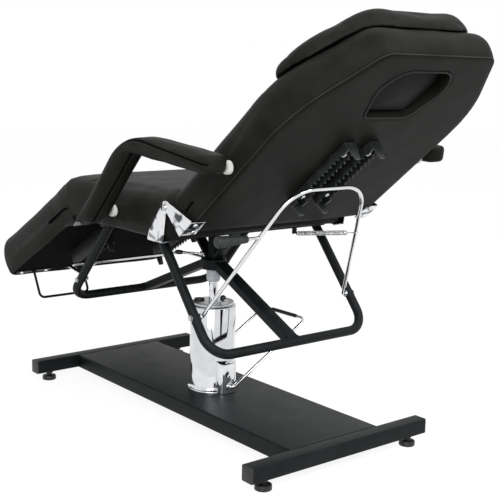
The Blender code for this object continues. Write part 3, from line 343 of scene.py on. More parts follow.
def mitred(loop, distance):  # a closed flat loop with every side moved in by a distance
    loop = np.asarray(loop, float)
    turnWay = np.sign(np.sum(loop[:, 0] * np.roll(loop[:, 1], -1) - np.roll(loop[:, 0], -1) * loop[:, 1]))
    ahead = unit(np.roll(loop, -1, axis=0) - loop)
    inward = np.stack([-ahead[:, 1], ahead[:, 0]], axis=1) * turnWay
    before = np.roll(inward, 1, axis=0)
    join = (inward + before) / (1 + np.sum(inward * before, axis=1, keepdims=True))
    return loop + join * distance


def slab(loop, low, high, edge=0.0008, steps=3, at=(0, 0, 0), basis=np.eye(3)):
    # a flat loop raised from low to high, both rims rolled over by an edge radius
    turn = np.linspace(0, math.pi / 2, steps + 1)
    rings = [(edge * (1 - math.sin(t)), low + edge * (1 - math.cos(t))) for t in turn]
    rings += [(edge * (1 - math.cos(t)), high - edge * (1 - math.sin(t))) for t in turn]
    levels = [np.column_stack([mitred(loop, inset), np.full(len(loop), level)]) for inset, level in rings]
    grid = np.stack(levels)
    return tubeGrid(np.asarray(at, float) + grid @ np.asarray(basis, float))


def block(low, high, edge=0.0015, corner=None):  # a box with rolled edges
    low, high = np.minimum(low, high), np.maximum(low, high)
    plan = [(low[0], low[1]), (high[0], low[1]), (high[0], high[1]), (low[0], high[1])]
    return slab(arcs(plan, corner or edge, 3, True), low[2], high[2], edge)


# flat loops drawn in x and z, thickness towards -y
upright = np.array([[1.0, 0, 0], [0, 0, 1.0], [0, -1.0, 0]])
# flat loops drawn in y and z, thickness towards x
lengthwise = np.array([[0, 1.0, 0], [0, 0, 1.0], [1.0, 0, 0]])


def bolt(at, axis, size, turn=0.3):  # washer, hex head and a chamfer, standing on a face
    washer = lathe([(0, 0), (1.15 * size, 0), (1.15 * size, 0.14 * size), (0, 0.14 * size)], at, axis, 24)
    flat = size / math.cos(math.pi / 6) * 0.92
    head = lathe([(0, 0.1 * size), (flat, 0.1 * size), (flat, 0.62 * size), (0.86 * flat, 0.74 * size),
                  (0, 0.76 * size)], at, axis, 6, turn)
    return [washer, head]


def panScrew(at, size=0.0062):  # a low round head with a driven socket, facing down
    profile = [(0, 0), (size, 0), (size, 0.22 * size), (0.9 * size, 0.42 * size),
               (0.62 * size, 0.55 * size), (0.34 * size, 0.58 * size), (0.30 * size, 0.56 * size),
               (0.24 * size, 0.2 * size), (0, 0.18 * size)]
    return lathe(profile, at, (0, 0, -1), 20)


def bead(centre, axis, radius, thick=0.0022, count=40, squeeze=1.0):  # a weld bead round a joint
    axis = unit(axis)
    across, other = crossWays(axis)
    turn = np.linspace(0, 2 * math.pi, count, endpoint=False)[:, None]
    path = np.asarray(centre) + radius * (np.cos(turn) * across + squeeze * np.sin(turn) * other)
    swell = thick * (1 + 0.16 * np.cos(turn[:, 0] * count / 3))
    return rod(path, swell, 8, ring=True)


def weldSwell(count, thick):  # the ripple along a straight weld
    return thick * (1 + 0.14 * np.cos(np.arange(count) * 2.1))


def makeObject(name, shapes, finish, smoothness=38):
    counts = np.cumsum([0] + [len(points) for points, faces in shapes])
    points = np.concatenate([points for points, faces in shapes])
    faces = [[index + start for index in face] for (p, fs), start in zip(shapes, counts) for face in fs]
    mesh = bpy.data.meshes.new(name)
    mesh.from_pydata(points.tolist(), [], faces)
    work = bmesh.new()
    work.from_mesh(mesh)
    bmesh.ops.remove_doubles(work, verts=work.verts, dist=0.000004)
    bmesh.ops.dissolve_degenerate(work, edges=work.edges, dist=0.000002)
    bmesh.ops.recalc_face_normals(work, faces=work.faces)
    work.to_mesh(mesh)
    work.free()
    mesh.shade_smooth()
    mesh.set_sharp_from_angle(angle=math.radians(smoothness))
    made = bpy.data.objects.new(name, mesh)
    bpy.context.scene.collection.objects.link(made)
    mesh.materials.append(finish)
    return made


def piece(name, shapes, finish, body, stands=(), smoothness=38):
    shapes = [(points + columnShift, faces) for points, faces in shapes]
    made = makeObject(name, shapes, finish, smoothness)
    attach(made, body)
    if stands:
        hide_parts(*stands)
    return made


# Base
base = {"barX": 0.53, "barHalf": 0.020, "barLow": 0.027, "barLength": 0.58, "plateHalf": 0.15, "sheet": 0.004,
        "footInset": 0.045, "footRadius": 0.021, "capThick": 0.004}
barTop = base["barLow"] + 2 * base["barHalf"]


def makeBase(b):
    half, low, reach = b["barHalf"], b["barLow"], b["barLength"] / 2
    square = arcs([(-half, low), (half, low), (half, barTop), (-half, barTop)], 0.004, 4, True)
    for end, sign in ends.items():
        loop = square + np.array([sign * b["barX"], 0])
        bar = slab(loop, -reach, reach, 0.0006, 1, basis=upright)
        piece(f"baseBar_{end}", [bar], coat, "base", [f"base_bar_{end}"])
        for side, across in sides.items():
            face = across * (reach + clearance)
            tip = face + across * b["capThick"]
            inner = square * [0.84, 1] - [0, low + half]
            inner = inner * [1, 0.84] + [sign * b["barX"], low + half]
            cap = [slab(loop, -max(face, tip), -min(face, tip), 0.0012, 3, basis=upright)]
            cap.append(slab(inner, -max(face, face - across * 0.014), -min(face, face - across * 0.014),
                            0.001, 2, basis=upright))
            piece(f"barCap_{end}_{side}", cap, blackNylon, "base", [f"bar_cap_{end}_{side}"])
            makeFoot(f"{end}_{side}", sign * b["barX"], across * (reach - b["footInset"]), b)
    wide, sheet, long = b["plateHalf"], b["sheet"], b["barX"] - half - clearance
    fold = [(-wide, low), (-wide + sheet, low), (-wide + sheet, barTop - sheet),
            (wide - sheet, barTop - sheet), (wide - sheet, low), (wide, low), (wide, barTop),
            (-wide, barTop)]
    bends = [0.0008, 0.0008, 0.0025, 0.0025, 0.0008, 0.0008, 0.0055, 0.0055]
    plate = [slab(arcs(fold, bends, 5, True), -long, long, 0.0005, 1, basis=lengthwise)]
    piece("basePlate", plate, coat, "base", ["base_plate"])
    welds = []
    for sign in ends.values():
        edge = sign * (long + 0.0002)
        for y in (-0.1, 0.0, 0.1):
            run = np.linspace(y - 0.022, y + 0.022, 19)
            path = np.column_stack([np.full(19, edge), run, np.full(19, barTop - 0.0012)])
            taper = np.sin(np.linspace(0.5, math.pi - 0.5, 19)) ** 0.5
            welds.append(rod(path, weldSwell(19, 0.0021) * taper, 8))
    piece("baseWelds", welds, coat, "base")


def makeFoot(name, x, y, b):
    under, radius = b["barLow"] - clearance, b["footRadius"]
    pad = [(0, 0), (0.93 * radius, 0), (radius, 0.0012), (radius, 0.0105), (0.96 * radius, 0.0128),
           (0.80 * radius, 0.0140), (0.40 * radius, 0.0146), (0.36 * radius, 0.0152),
           (0.36 * radius, 0.0206), (0, 0.0206)]
    nut = [(0, under - 0.0062), (0.0112, under - 0.0062), (0.0116, under - 0.0050), (0.0116, under - 0.0014),
           (0.0104, under), (0, under)]
    stud = [(0, 0.0195), (0.0048, 0.0195), (0.0048, under - 0.0004), (0.0048, under + 0.0118),
            (0, under + 0.012)]
    shapes = [lathe(pad, (x, y, 0), count=40), lathe(nut, (x, y, 0), count=6),
              lathe(stud, (x, y, 0), count=20)]
    body = "foot_" + name
    piece("levellingFoot_" + name, shapes, blackNylon, body, ["levelling_foot_" + name])


makeBase(base)
print("base built")


# Pump column
column = {"radius": 0.065, "wall": 0.0025, "height": 0.240, "flange": 0.0055, "capHeight": 0.012,
          "rod": 0.0125, "rodShown": 0.058, "collar": 0.020, "collarHeight": 0.036, "housingReach": 0.083,
          "housingTop": 0.160, "housingHalf": 0.030}
coverLow = barTop + clearance
coverTop = coverLow + column["height"]
capTop = coverTop + clearance + column["capHeight"]
collarLow = capTop + column["rodShown"]


def makeColumn(c):
    radius, inner = c["radius"], c["radius"] - c["wall"]
    skirt = [(inner, coverTop), (radius - 0.0004, coverTop), (radius, coverTop - 0.0006),
             (radius, coverLow + 0.016), (radius + 0.0008, coverLow + 0.0125),
             (radius + 0.003, coverLow + 0.0085), (radius + 0.0052, coverLow + 0.0062),
             (radius + c["flange"] - 0.0006, coverLow + 0.0046), (radius + c["flange"], coverLow + 0.0038),
             (radius + c["flange"], coverLow + 0.0004), (radius + c["flange"] - 0.0004, coverLow),
             (inner, coverLow)]
    cover = tubeGridRing(skirt, 96)
    seam = rod(evenly([(-radius - 0.0001, 0, coverLow + 0.018), (-radius - 0.0001, 0, coverTop - 0.001)],
                      0.02), 0.0009, 8)
    piece("columnCover", [cover, seam], chrome, "base", ["column_cover"])
    rim, bore = radius * 0.92, c["rod"] + 0.0006
    cap = [(bore, capTop - 0.001), (bore + 0.001, capTop), (rim - 0.001, capTop), (rim, capTop - 0.001),
           (rim, capTop - 0.0042), (rim - 0.003, capTop - 0.0054), (rim - 0.003, capTop - 0.0072),
           (radius - 0.0008, capTop - 0.0084), (radius, capTop - 0.0092), (radius, coverTop + clearance),
           (inner - clearance, coverTop + clearance), (inner - clearance, coverTop - 0.0097),
           (bore, coverTop - 0.0097)]
    piece("columnCap", [tubeGridRing(cap, 72)], zinc, "base", ["cylinder_cap"])
    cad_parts["hydraulic_cylinder"].data.materials[0] = zinc
    makeCapFittings()
    for end, sign in ends.items():
        makeHousing(end, sign, c)
    low, high = 0.106, collarLow + c["collarHeight"] / 2
    shaft = [(0, high), (c["rod"], high), (c["rod"], low + 0.001), (c["rod"] - 0.001, low), (0, low)]
    levels = np.linspace(capTop + 0.010, collarLow - 0.006, 3)
    grooves = [bead((0, 0, z), (0, 0, 1), c["rod"], 0.0005, 40) for z in levels]
    piece("pistonRod", [lathe(shaft, (0, 0, 0), count=48)] + grooves, chrome, "piston",
          ["piston_rod"])
    makeCollar(c)


def tubeGridRing(profile, count):  # a closed profile turned about z, so it needs no caps
    profile = np.asarray(profile, float)
    turn = np.linspace(0, 2 * math.pi, count, endpoint=False)
    grid = np.stack([profile[:, :1] * np.cos(turn), profile[:, :1] * np.sin(turn),
                     np.repeat(profile[:, 1:], count, 1)], axis=-1)
    return tubeGrid(grid, ring=True)


def makeCollar(c):  # a round sleeve with shallow flutes, which vary the radius with the turn
    turn = np.linspace(0, 2 * math.pi, 96, endpoint=False)
    top = collarLow + c["collarHeight"]
    bore = c["rod"] + clearance
    levels = [(bore, top, 0), (c["collar"] - 0.001, top, 0), (c["collar"], top - 0.0012, 0),
              (c["collar"], top - 0.004, 0.2), (c["collar"], top - 0.006, 1),
              (c["collar"], collarLow + 0.012, 1), (c["collar"], collarLow + 0.0095, 0.2),
              (0.97 * c["collar"], collarLow + 0.006, 0), (0.86 * c["collar"], collarLow + 0.0008, 0),
              (0.82 * c["collar"], collarLow, 0), (bore, collarLow, 0)]
    flute = -0.0009 * (0.5 + 0.5 * np.cos(12 * turn)) ** 3
    grid = np.stack([np.column_stack([(r + k * flute) * np.cos(turn), (r + k * flute) * np.sin(turn),
                                      np.full(96, z)]) for r, z, k in levels])
    piece("pistonCollar", [tubeGrid(grid, ring=True)], greyNylon, "piston", ["piston_collar"])


def makeHousing(end, sign, c):  # a half-round pump boss against the cover, its top cut on a slope
    wide, reach, low = c["housingHalf"], c["housingReach"], coverLow
    plan = arcs([(0.040, -wide), (reach, -wide), (reach, wide), (0.040, wide)], [0, 0.017, 0.017, 0], 8, True)
    levels = [(0.0012, low), (0, low + 0.0012), (0, 1.0), (0.0006, 1.0), (0.0018, 1.0), (0.0040, 1.0)]
    lifts = [0, 0, -0.0030, -0.0010, -0.0002, 0]
    rings = []
    for (inset, level), lift in zip(levels, lifts):
        loop = mitred(plan, inset)
        slope = c["housingTop"] - 0.30 * (loop[:, 0] - 0.060) + lift
        rings.append(np.column_stack([sign * loop[:, 0], loop[:, 1],
                                      slope if level == 1.0 else np.full(len(loop), level)]))
    lip = rod(evenly([(sign * (reach - 0.0115), -wide * 0.92, low + 0.0008),
                      (sign * (reach - 0.0115), wide * 0.92, low + 0.0008)], 0.01), 0.0014, 8)
    piece(f"pumpBoss_{end}", [tubeGrid(np.stack(rings)), lip], chrome, "base",
          [f"pump_housing_{end}"], 30)
    pivot = np.array([sign * reach, 0, barTop + 0.020])
    ear = lathe([(0.0054, 0), (0.0105, 0), (0.0110, 0.0006), (0.0110, 0.0030), (0.0102, 0.0038),
                 (0.0054, 0.0038)], pivot, (sign, 0, 0), 32)
    fittings = [ear]
    fittings += bolt(pivot + [0, -0.004, 0.030], (sign, 0, 0), 0.0040)
    piece(f"pumpBossFittings_{end}", fittings, zinc, "base", smoothness=30)


def makeCapFittings():  # a bleed plate with an oval eye, a dome plug and two clamp screws on the lid
    eye = circle(28) * [0.0068, 0.0046]
    outline = arcs([(-0.014, -0.010), (0.014, -0.010), (0.014, 0.010), (-0.014, 0.010)], 0.006, 6, True)
    at = np.array([-0.036, -0.022, capTop + 0.0002])
    turn = np.array([[0.6, 0.8, 0], [-0.8, 0.6, 0], [0, 0, 1.0]])
    ringed = np.stack([
        np.column_stack([loop, np.full(28, z)])
        for loop, z in ((resampled(outline, 28), 0), (resampled(outline, 28), 0.004), (eye, 0.004), (eye, 0))
    ])
    plate = tubeGrid(at + ringed @ turn, ring=True)
    dome = [(0, 0), (0.0085, 0), (0.0085, 0.003), (0.0078, 0.0062), (0.0055, 0.0088), (0.0025, 0.0100),
            (0, 0.0102)]
    piece("columnPlugs", [plate, lathe(dome, (-0.006, 0.040, capTop + 0.0002), count=32)], blackNylon,
          "base")
    screws = bolt((0.038, -0.006, capTop + 0.0001), (0, 0, 1), 0.0062)
    screws += bolt((0.020, 0.030, capTop + 0.0001), (0, 0, 1), 0.0050)
    piece("columnScrews", screws, zinc, "base", smoothness=30)


def resampled(loop, count):  # a closed loop as a number of points by turn about its middle
    turn = np.linspace(0, 2 * math.pi, count, endpoint=False)
    angle = np.arctan2(loop[:, 1], loop[:, 0]) % (2 * math.pi)
    order = np.argsort(angle)
    reach = np.linalg.norm(loop, axis=1)[order]
    reach = np.interp(turn, angle[order], reach, period=2 * math.pi)
    return np.stack([reach * np.cos(turn), reach * np.sin(turn)], axis=1)


pedal = {"wire": 0.0045, "armX": 0.0955, "pivotZ": 0.087, "length": 0.315, "angle": 31.0, "tuckX": 0.069,
         "bend": 0.022}


def makePedal(p):
    lean = math.radians(p["angle"])
    pivot = np.array([0, 0, p["pivotZ"]])
    reach = np.array([0, math.cos(lean), math.sin(lean)]) * p["length"]
    tuck, out = np.array([p["tuckX"], 0, 0]), np.array([p["armX"], 0, 0])
    corners = np.array([tuck, out, out + reach, reach - out, -out, -tuck]) + pivot
    path = arcs(corners, [0, 0.0099, p["bend"], p["bend"], 0.0099, 0], 10)
    piece("pumpPedal", [rod(path, p["wire"], 16)], chrome, "pedal", ["pump_pedal"])
    tread = evenly([pivot + reach - out * 0.62, pivot + reach + out * 0.62], 0.004)
    swell = p["wire"] + 0.0011 + 0.00045 * np.cos(np.arange(len(tread)) * math.pi)
    swell[[0, 1, -2, -1]] = p["wire"] + 0.0006
    piece("pedalSleeve", [rod(tread, swell, 20)], blackNylon, "pedal")


makeColumn(column)
makePedal(pedal)
print("pump column built")


# Tube frame under the seat
tubes = {"radius": 0.0125, "halfWidth": 0.263, "topX": 0.147, "footX": 0.347, "rearZ": 0.276,
         "frontZ": 0.300, "lineZ": 0.5187, "bend": 0.060, "railX": 0.134, "railWidth": 0.050,
         "railHeight": 0.008, "railTop": 0.5437, "railHalf": 0.2755, "lugFace": 0.1585, "lugDrop": 0.016,
         "hub": 0.036, "hubLow": 0.4139, "hubTop": 0.4439, "post": 0.016, "beamWidth": 0.038,
         "beamHeight": 0.022, "strutWidth": 0.032, "strutHeight": 0.010}
railLow = tubes["railTop"] - tubes["railHeight"]


def legHeight(x):  # height of a loop leg's middle at a distance from the column
    foot = tubes["rearZ"] if x > 0 else tubes["frontZ"]
    run = tubes["footX"] - tubes["topX"]
    return tubes["lineZ"] + (abs(x) - tubes["topX"]) * (foot - tubes["lineZ"]) / run


# Section frames: the backrest and the leg rest are drawn along their own hinge lines
backHinge = np.array([0.215, 0, 0.631])
legHinge = np.array([-0.268, 0, 0.550])
backAngle, legAngle = math.radians(38.8), math.radians(28.5)
hingeRise, legRise = 0.087, 0.006


def turned(points, hinge, angle):  # points of a section frame in the table's frame
    points = np.asarray(points, float)
    x, y, z = points[..., 0], points[..., 1], points[..., 2]
    c, s = math.cos(angle), math.sin(angle)
    return np.stack([hinge[0] + x * c - z * s, y, hinge[2] + x * s + z * c], axis=-1)


def turnedShape(shape, hinge, angle):
    return turned(shape[0], hinge, angle), shape[1]


places = {"seat": (backHinge, 0.0), "backrest": (backHinge, backAngle), "seatFoot": (legHinge, 0.0),
          "leg_rest": (legHinge, legAngle)}


def placed(shapes, place):  # a section's shapes in the table's frame
    return [turnedShape(shape, *places[place]) for shape in shapes]


# Places of the two bails
bails = {"radius": 0.005, "endY": 0.2502, "clear": 0.004, "backBarHalf": 0.118, "legBarHalf": 0.215,
         "bend": 0.090, "legBend": 0.025, "gripAlong": 0.64}
backPivot = np.array([0.277, 0, legHeight(0.277)])
legPivot = np.array([-0.290, 0, legHeight(-0.290)])
backBar = turned((0.231, 0, -hingeRise - 0.024 - 0.0053), backHinge, backAngle)
legBar = turned((-0.244, 0, -legRise - 0.056 - 0.0053), legHinge, legAngle)


def armPoint(share, sign):  # a point along the back bail's arm
    inside = bails["endY"] - bails["clear"] - bails["radius"]
    start = backPivot + np.array([0, sign * inside, 0])
    end = backBar + np.array([0, sign * bails["backBarHalf"], 0])
    return start + (end - start) * share


def flatBar(start, end, width, height, edge=0.002):  # a bar between two points, its width across y
    start, end = np.asarray(start, float), np.asarray(end, float)
    along = unit(end - start)
    up = np.cross(along, [0, 1.0, 0])
    length = float(np.linalg.norm(end - start))
    loop = arcs([(-width / 2, -height / 2), (width / 2, -height / 2), (width / 2, height / 2),
                 (-width / 2, height / 2)], edge, 4, True)
    return slab(loop, 0, length, 0.0006, 1, at=start, basis=np.array([[0, 1.0, 0], up, along]))


def makeTubes(t):
    flip = np.array([1, -1, 1])
    welds = []
    for end, sign in {"rear": 1, "front": -1}.items():
        foot = np.array([sign * t["footX"], t["halfWidth"], legHeight(sign * t["footX"])])
        lean = unit(np.array([sign * t["topX"], t["halfWidth"], t["lineZ"]]) - foot)
        level = railLow - 0.0004
        top = foot + lean * (level - foot[2]) / lean[2]
        points, faces = rod(arcs([top * flip, foot * flip, foot, top], t["bend"], 16), t["radius"], 24, 0.0)
        for cut in (slice(0, 24), slice(-24, None)):  # both ends are sawn level under the rail
            points[cut] += lean * ((level - points[cut, 2]) / lean[2])[:, None]
        piece(f"{end}Loop", [(points, faces)], coat, "seat", [f"{end}_loop"])
        past, half = sign * t["railX"], t["railWidth"] / 2
        rail = [block((past - half, -t["railHalf"], railLow), (past + half, t["railHalf"], t["railTop"]),
                      0.0014)]
        if sign > 0:
            y = armPoint(bails["gripAlong"], 1)[1]
            rail.append(block((t["lugFace"] - 0.003, y - 0.008, railLow - t["lugDrop"]),
                              (t["lugFace"], y + 0.008, railLow + 0.004), 0.0008))
        piece(f"{end}Rail", rail, coat, "seat", [f"{end}_rail"])
        for side in sides.values():
            spot = (top[0], side * t["halfWidth"], railLow - 0.0012)
            welds.append(bead(spot, (0, 0, 1), 0.0166, 0.0018, 40, 0.79))
        cross = np.array([sign * t["footX"], 0, foot[2]])
        start = np.array([sign * t["hub"] * 0.72, 0, (t["hubLow"] + t["hubTop"]) / 2])
        back = unit(start - cross)
        beam = flatBar(start, cross + back * (t["radius"] - 0.0006), t["beamWidth"], t["beamHeight"])
        piece(f"{end}Beam", [beam], coat, "seat", [f"{end}_beam"])
        up = np.cross(back, [0, 1.0, 0]) * t["beamHeight"]
        for lift in (-0.49, 0.49):
            seam = np.array([[0, y, 0] for y in np.linspace(-0.5, 0.5, 21) * t["beamWidth"]])
            spot = cross + back * (t["radius"] * 0.62) + up * lift
            welds.append(rod(seam + spot, weldSwell(21, 0.0022), 8))
    piece("frameWelds", welds, coat, "seat")
    makeHub(t)


def makeHub(t):
    socket = [(0, t["railTop"]), (t["post"], t["railTop"]), (t["post"], t["hubTop"] + 0.006),
              (t["post"] + 0.002, t["hubTop"] + 0.0025), (t["post"] + 0.006, t["hubTop"]),
              (t["hub"] - 0.002, t["hubTop"]), (t["hub"], t["hubTop"] - 0.002),
              (t["hub"], t["hubLow"] + 0.0015), (t["hub"] - 0.0015, t["hubLow"]), (0, t["hubLow"])]
    shapes = [lathe(socket, (0, 0, 0), count=56)]
    for sign in (1, -1):
        face = sign * (t["railX"] - t["railWidth"] / 2 - clearance)
        rail = np.array([face, 0, t["railTop"] - 0.75 * t["strutHeight"]])
        foot = np.array([sign * t["hub"] * 0.4, 0, t["hubTop"]])
        points, faces = flatBar(foot, rail, t["strutWidth"], t["strutHeight"], 0.0015)
        points[:, 0] = np.clip(points[:, 0], -abs(face), abs(face))
        shapes.append((points, faces))
        gusset = [(sign * t["post"] * 0.8, t["hubTop"] + 0.002), (sign * 0.060, t["hubTop"] + 0.036),
                  (sign * t["post"] * 0.8, t["hubTop"] + 0.040)]
        shapes.append(slab(gusset, -0.002, 0.002, 0.0004, 1, basis=upright))
    piece("hub", shapes, coat, "seat", ["hub"])
    makeLockLever()


lever = {"nut": (-0.0300, -0.0180, 0.4530), "end": (-0.0690, -0.0620, 0.4555), "wire": 0.0030, "knob": 0.0065}


def makeLockLever():  # the swivel lock: a threaded wire with a lock nut at the hub and a knob
    start, end = np.array(lever["nut"]), np.array(lever["end"])
    way = unit(end - start)
    root = start - way * 0.016
    wire = [rod(evenly([root, end], 0.01), lever["wire"], 12)]
    nuts = [lathe([(0, -0.003), (0.0062, -0.003), (0.0066, -0.0022), (0.0066, 0.0022), (0.0062, 0.003),
                   (0, 0.003)], start, way, 6)]
    nuts.append(lathe([(0, -0.001), (0.0078, -0.001), (0.0078, 0.001), (0, 0.001)], start + way * 0.0045,
                      way, 24))
    piece("lockLever", wire + nuts, zinc, "seat", smoothness=30)
    knob = [(0, -0.002), (0.6, -0.002), (0.85, 0.001), (1, 0.006), (1, 0.014), (0.8, 0.019), (0.45, 0.0215),
            (0, 0.022)]
    profile = [(radius * lever["knob"], height) for radius, height in knob]
    piece("lockKnob", [lathe(profile, end - way * 0.002, way, 28)], blackNylon, "seat")


makeTubes(tubes)
print("tube frame built")


# Hinge plates: pressed from sheet, an ear round the rivet, a leg to the section's edge and a flange under it
hinge = {"sheet": 0.003, "y": 0.3075, "pin": 0.005, "pinHead": 0.009}
# Each kind: the ear's radius, where its leg starts and ends, the bow of its outer edge, the flange's width
hingeKinds = {
    "seat": {"ear": 0.016, "start": 0.0135, "reach": 0.080, "bow": 0.010, "flange": 0.024},
    "backrest": {"ear": 0.016, "start": 0.0105, "reach": 0.074, "bow": 0.001, "flange": 0.042},
}


def plateLoop(k):  # foot, bowed outer edge, the ear as an arc and a straight inner edge
    ear, low = k["ear"], -hingeRise - clearance - hinge["sheet"] + 0.0004
    turn = np.radians(np.linspace(32, 275, 20))
    crest = ear * np.column_stack([np.cos(turn), np.sin(turn)])
    corner = np.array([k["reach"], low + 0.005])
    share = np.linspace(0, 1, 10)[:, None]
    bulge = np.array([0.8, 0.6]) * k["bow"] * np.sin(math.pi * share)
    edge = corner + (crest[0] - corner) * share + bulge
    return np.concatenate([[(k["start"], low), (k["reach"] - 0.003, low), (k["reach"], low + 0.003)],
                           edge[:-1], crest])


def hingePlate(name, sign, toward, layer, place, body, node, pinned):
    k, sheet = hingeKinds[place], hinge["sheet"]
    inner = hinge["y"] + layer * (sheet + clearance)
    foot = -hingeRise - clearance - sheet
    low, high = sorted((-sign * inner, -sign * (inner + sheet)))
    shapes = [slab(plateLoop(k) * [toward, 1], low, high, 0.0007, 2, basis=upright)]
    ys = sorted((sign * (inner + sheet * 0.5), sign * (inner - k["flange"])))
    xs = sorted((toward * (k["start"] + 0.004), toward * (k["reach"] - 0.002)))
    shapes.append(block((xs[0], ys[0], foot), (xs[1], ys[1], foot + sheet), 0.0007, 0.004))
    hardware = []
    for share, width in ((0.28, 0.66), (0.76, 0.42)):
        at = (toward * (k["start"] + (k["reach"] - k["start"]) * share),
              sign * (inner - k["flange"] * width), foot - 0.0001)
        hardware.append(panScrew(at))
    if pinned:
        head, radius = hinge["y"] + 2 * sheet + 0.0006, hinge["pinHead"]
        rivet = [(0, hinge["y"] + 0.0005), (hinge["pin"], hinge["y"] + 0.0005), (hinge["pin"], head),
                 (radius, head), (radius, head + 0.0008), (radius * 0.86, head + 0.0022),
                 (radius * 0.5, head + 0.0030), (0, head + 0.0032)]
        hardware.append(lathe(rivet, (0, 0, 0), (0, sign, 0), 32))
    # the plates' banded chrome is painted reflection
    piece(name, placed(shapes, place), chromePaintedReflections, body, [node], 34)
    piece(name + "Screws", placed(hardware, place), zinc, body, smoothness=34)


leaf = {"start": 0.020, "reach": 0.050, "inner": 0.2635, "outer": 0.3030, "knuckle": 0.0052, "pin": 0.0026}


def hingeLeaf(name, sign, toward, place, body, node, ends):
    # a flat leaf under the board and a knuckle round the pin
    f, sheet = leaf, hinge["sheet"]
    foot = -legRise - clearance - sheet

    def bar(x0, x1, y0, y1, z0, z1):
        xs, ys = sorted((toward * x0, toward * x1)), sorted((sign * y0, sign * y1))
        return block((xs[0], ys[0], z0), (xs[1], ys[1], z1), 0.0006, 0.0015)

    shapes = [bar(f["start"], f["reach"], f["inner"], f["outer"], foot, foot + sheet)]
    shapes.append(bar(-0.003, f["start"] + 0.004, ends[0], ends[1], foot, foot + sheet))
    shapes.append(bar(-0.003, 0.003, ends[0], ends[1], foot + 0.0006, 0.0))
    shapes.append(rod(np.array([(0, sign * ends[0], 0), (0, sign * ends[1], 0)]), f["knuckle"], 20))
    if body == "seat":
        shapes.append(rod(np.array([(0, sign * ends[0], 0), (0, sign * f["outer"], 0)]), f["pin"], 16))
    at = (toward * (f["start"] + 0.016), sign * (f["inner"] + 0.012), foot - 0.0001)
    shapes.append(panScrew(at))
    piece(name, placed(shapes, place), coat, body, [node], 34)


for side, sign in sides.items():
    hingePlate(f"hingeSeatPlate_{side}", sign, toward=-1, layer=0, place="seat", body="seat",
               node=f"hinge_seat_plate_{side}", pinned=True)
    hingePlate(f"hingeBackPlate_{side}", sign, toward=1, layer=1, place="backrest", body="backrest",
               node=f"hinge_back_plate_{side}", pinned=False)
    hingeLeaf(f"legSeatLeaf_{side}", sign, toward=1, place="seatFoot", body="seat",
              node=f"leg_seat_plate_{side}", ends=(0.2835, 0.2930))
    hingeLeaf(f"legLeaf_{side}", sign, toward=-1, place="leg_rest", body="leg_rest",
              node=f"leg_hinge_plate_{side}", ends=(0.2938, 0.3030))
print("hinges built")


# Racks: moulded channels with two saw-tooth walls, a tapered stop at each end and a screw boss inside it
racks = {"flange": 0.0165, "wall": 0.0045, "half": 0.018, "pitch": 0.0165, "depth": 0.009, "rise": 0.024,
         "fin": 0.0036, "finTip": 0.0075}


def makeRack(name, start, length, height, y, place, body, node, toward, rise, finish):
    r = racks
    base, tip = -rise - clearance, -rise - height
    end = start + length
    count = int((length - 0.032) / r["pitch"])
    first = start + (length - count * r["pitch"]) / 2
    index = np.arange(count)
    tooth = [(0, 0), (0.07, 0.35), (0.16, 1.0), (0.30, 0.94)]  # along the pitch and into the depth
    teeth = np.stack([np.column_stack([first + (index + a) * r["pitch"],
                                       np.full(count, tip + d * r["depth"])]) for a, d in tooth], axis=1)
    outline = np.concatenate([[(start + 0.002, base), (start + 0.002, tip + 0.002)], teeth.reshape(-1, 2),
                              [(first + count * r["pitch"], tip), (end - 0.002, tip + 0.002),
                               (end - 0.002, base)]])
    shapes = []
    for edge in (-1, 1):
        at = (0, y + edge * (r["half"] - r["wall"] / 2), 0)
        shapes.append(slab(outline * [toward, 1], -r["wall"] / 2, r["wall"] / 2, 0.0005, 2, at=at,
                           basis=upright))
    xs = sorted((toward * start, toward * end))
    shapes.append(block((xs[0], y - r["flange"], base - 0.0032), (xs[1], y + r["flange"], base), 0.0008,
                        0.004))
    stop = tip - r["rise"]
    lean = [(-r["flange"], base - 0.001), (r["flange"], base - 0.001), (r["finTip"] + 0.001, stop + 0.002),
            (r["finTip"] - 0.001, stop), (-r["finTip"] + 0.001, stop), (-r["finTip"] - 0.001, stop + 0.002)]
    for x in (start + r["fin"] / 2, end - r["fin"] / 2):
        shapes.append(slab(lean, -r["fin"] / 2, r["fin"] / 2, 0.0006, 2, at=(toward * x, y, 0),
                           basis=lengthwise))
    bosses = (start + 0.034, end - 0.034)
    for x in bosses:
        shapes.append(lathe([(0, 0), (0.0092, 0), (0.0082, -0.0118), (0, -0.0118)],
                            (toward * x, y, base - 0.001), count=28))
    piece(name, placed(shapes, place), finish, body, [node], 34)
    screws = [panScrew((toward * x, y, base - 0.0126), 0.0066) for x in bosses]
    piece(name + "Screws", placed(screws, place), chrome, body, smoothness=34)


for side, sign in sides.items():
    # the back racks' lighter nylon is a painted highlight
    makeRack(f"backRack_{side}", start=0.140, length=0.245, height=0.024, y=sign * 0.040, place="backrest",
             body="backrest", node=f"back_rack_{side}", toward=1, rise=hingeRise, finish=rackNylonPaintedHighlight)
    makeRack(f"legRack_{side}", start=0.085, length=0.215, height=0.056, y=sign * 0.150, place="leg_rest",
             body="leg_rest", node=f"leg_rack_{side}", toward=-1, rise=legRise, finish=blackNylon)
print("racks built")


# Bails: bent bright rods that drop into the racks' teeth
def makeBail(name, pivot, bar, barHalf, bend, body, node):
    b = bails
    inside = b["endY"] - b["clear"] - b["radius"]
    flip = np.array([1, -1, 1])
    start = pivot + np.array([0, b["endY"], 0])
    knee = pivot + np.array([0, inside, 0])
    corner = bar + np.array([0, barHalf, 0])
    path = arcs([start, knee, corner, corner * flip, knee * flip, start * flip],
                [0, b["clear"], bend, bend, b["clear"], 0], 14)
    piece(name, [rod(path, b["radius"], 18)], chrome, body, [node])


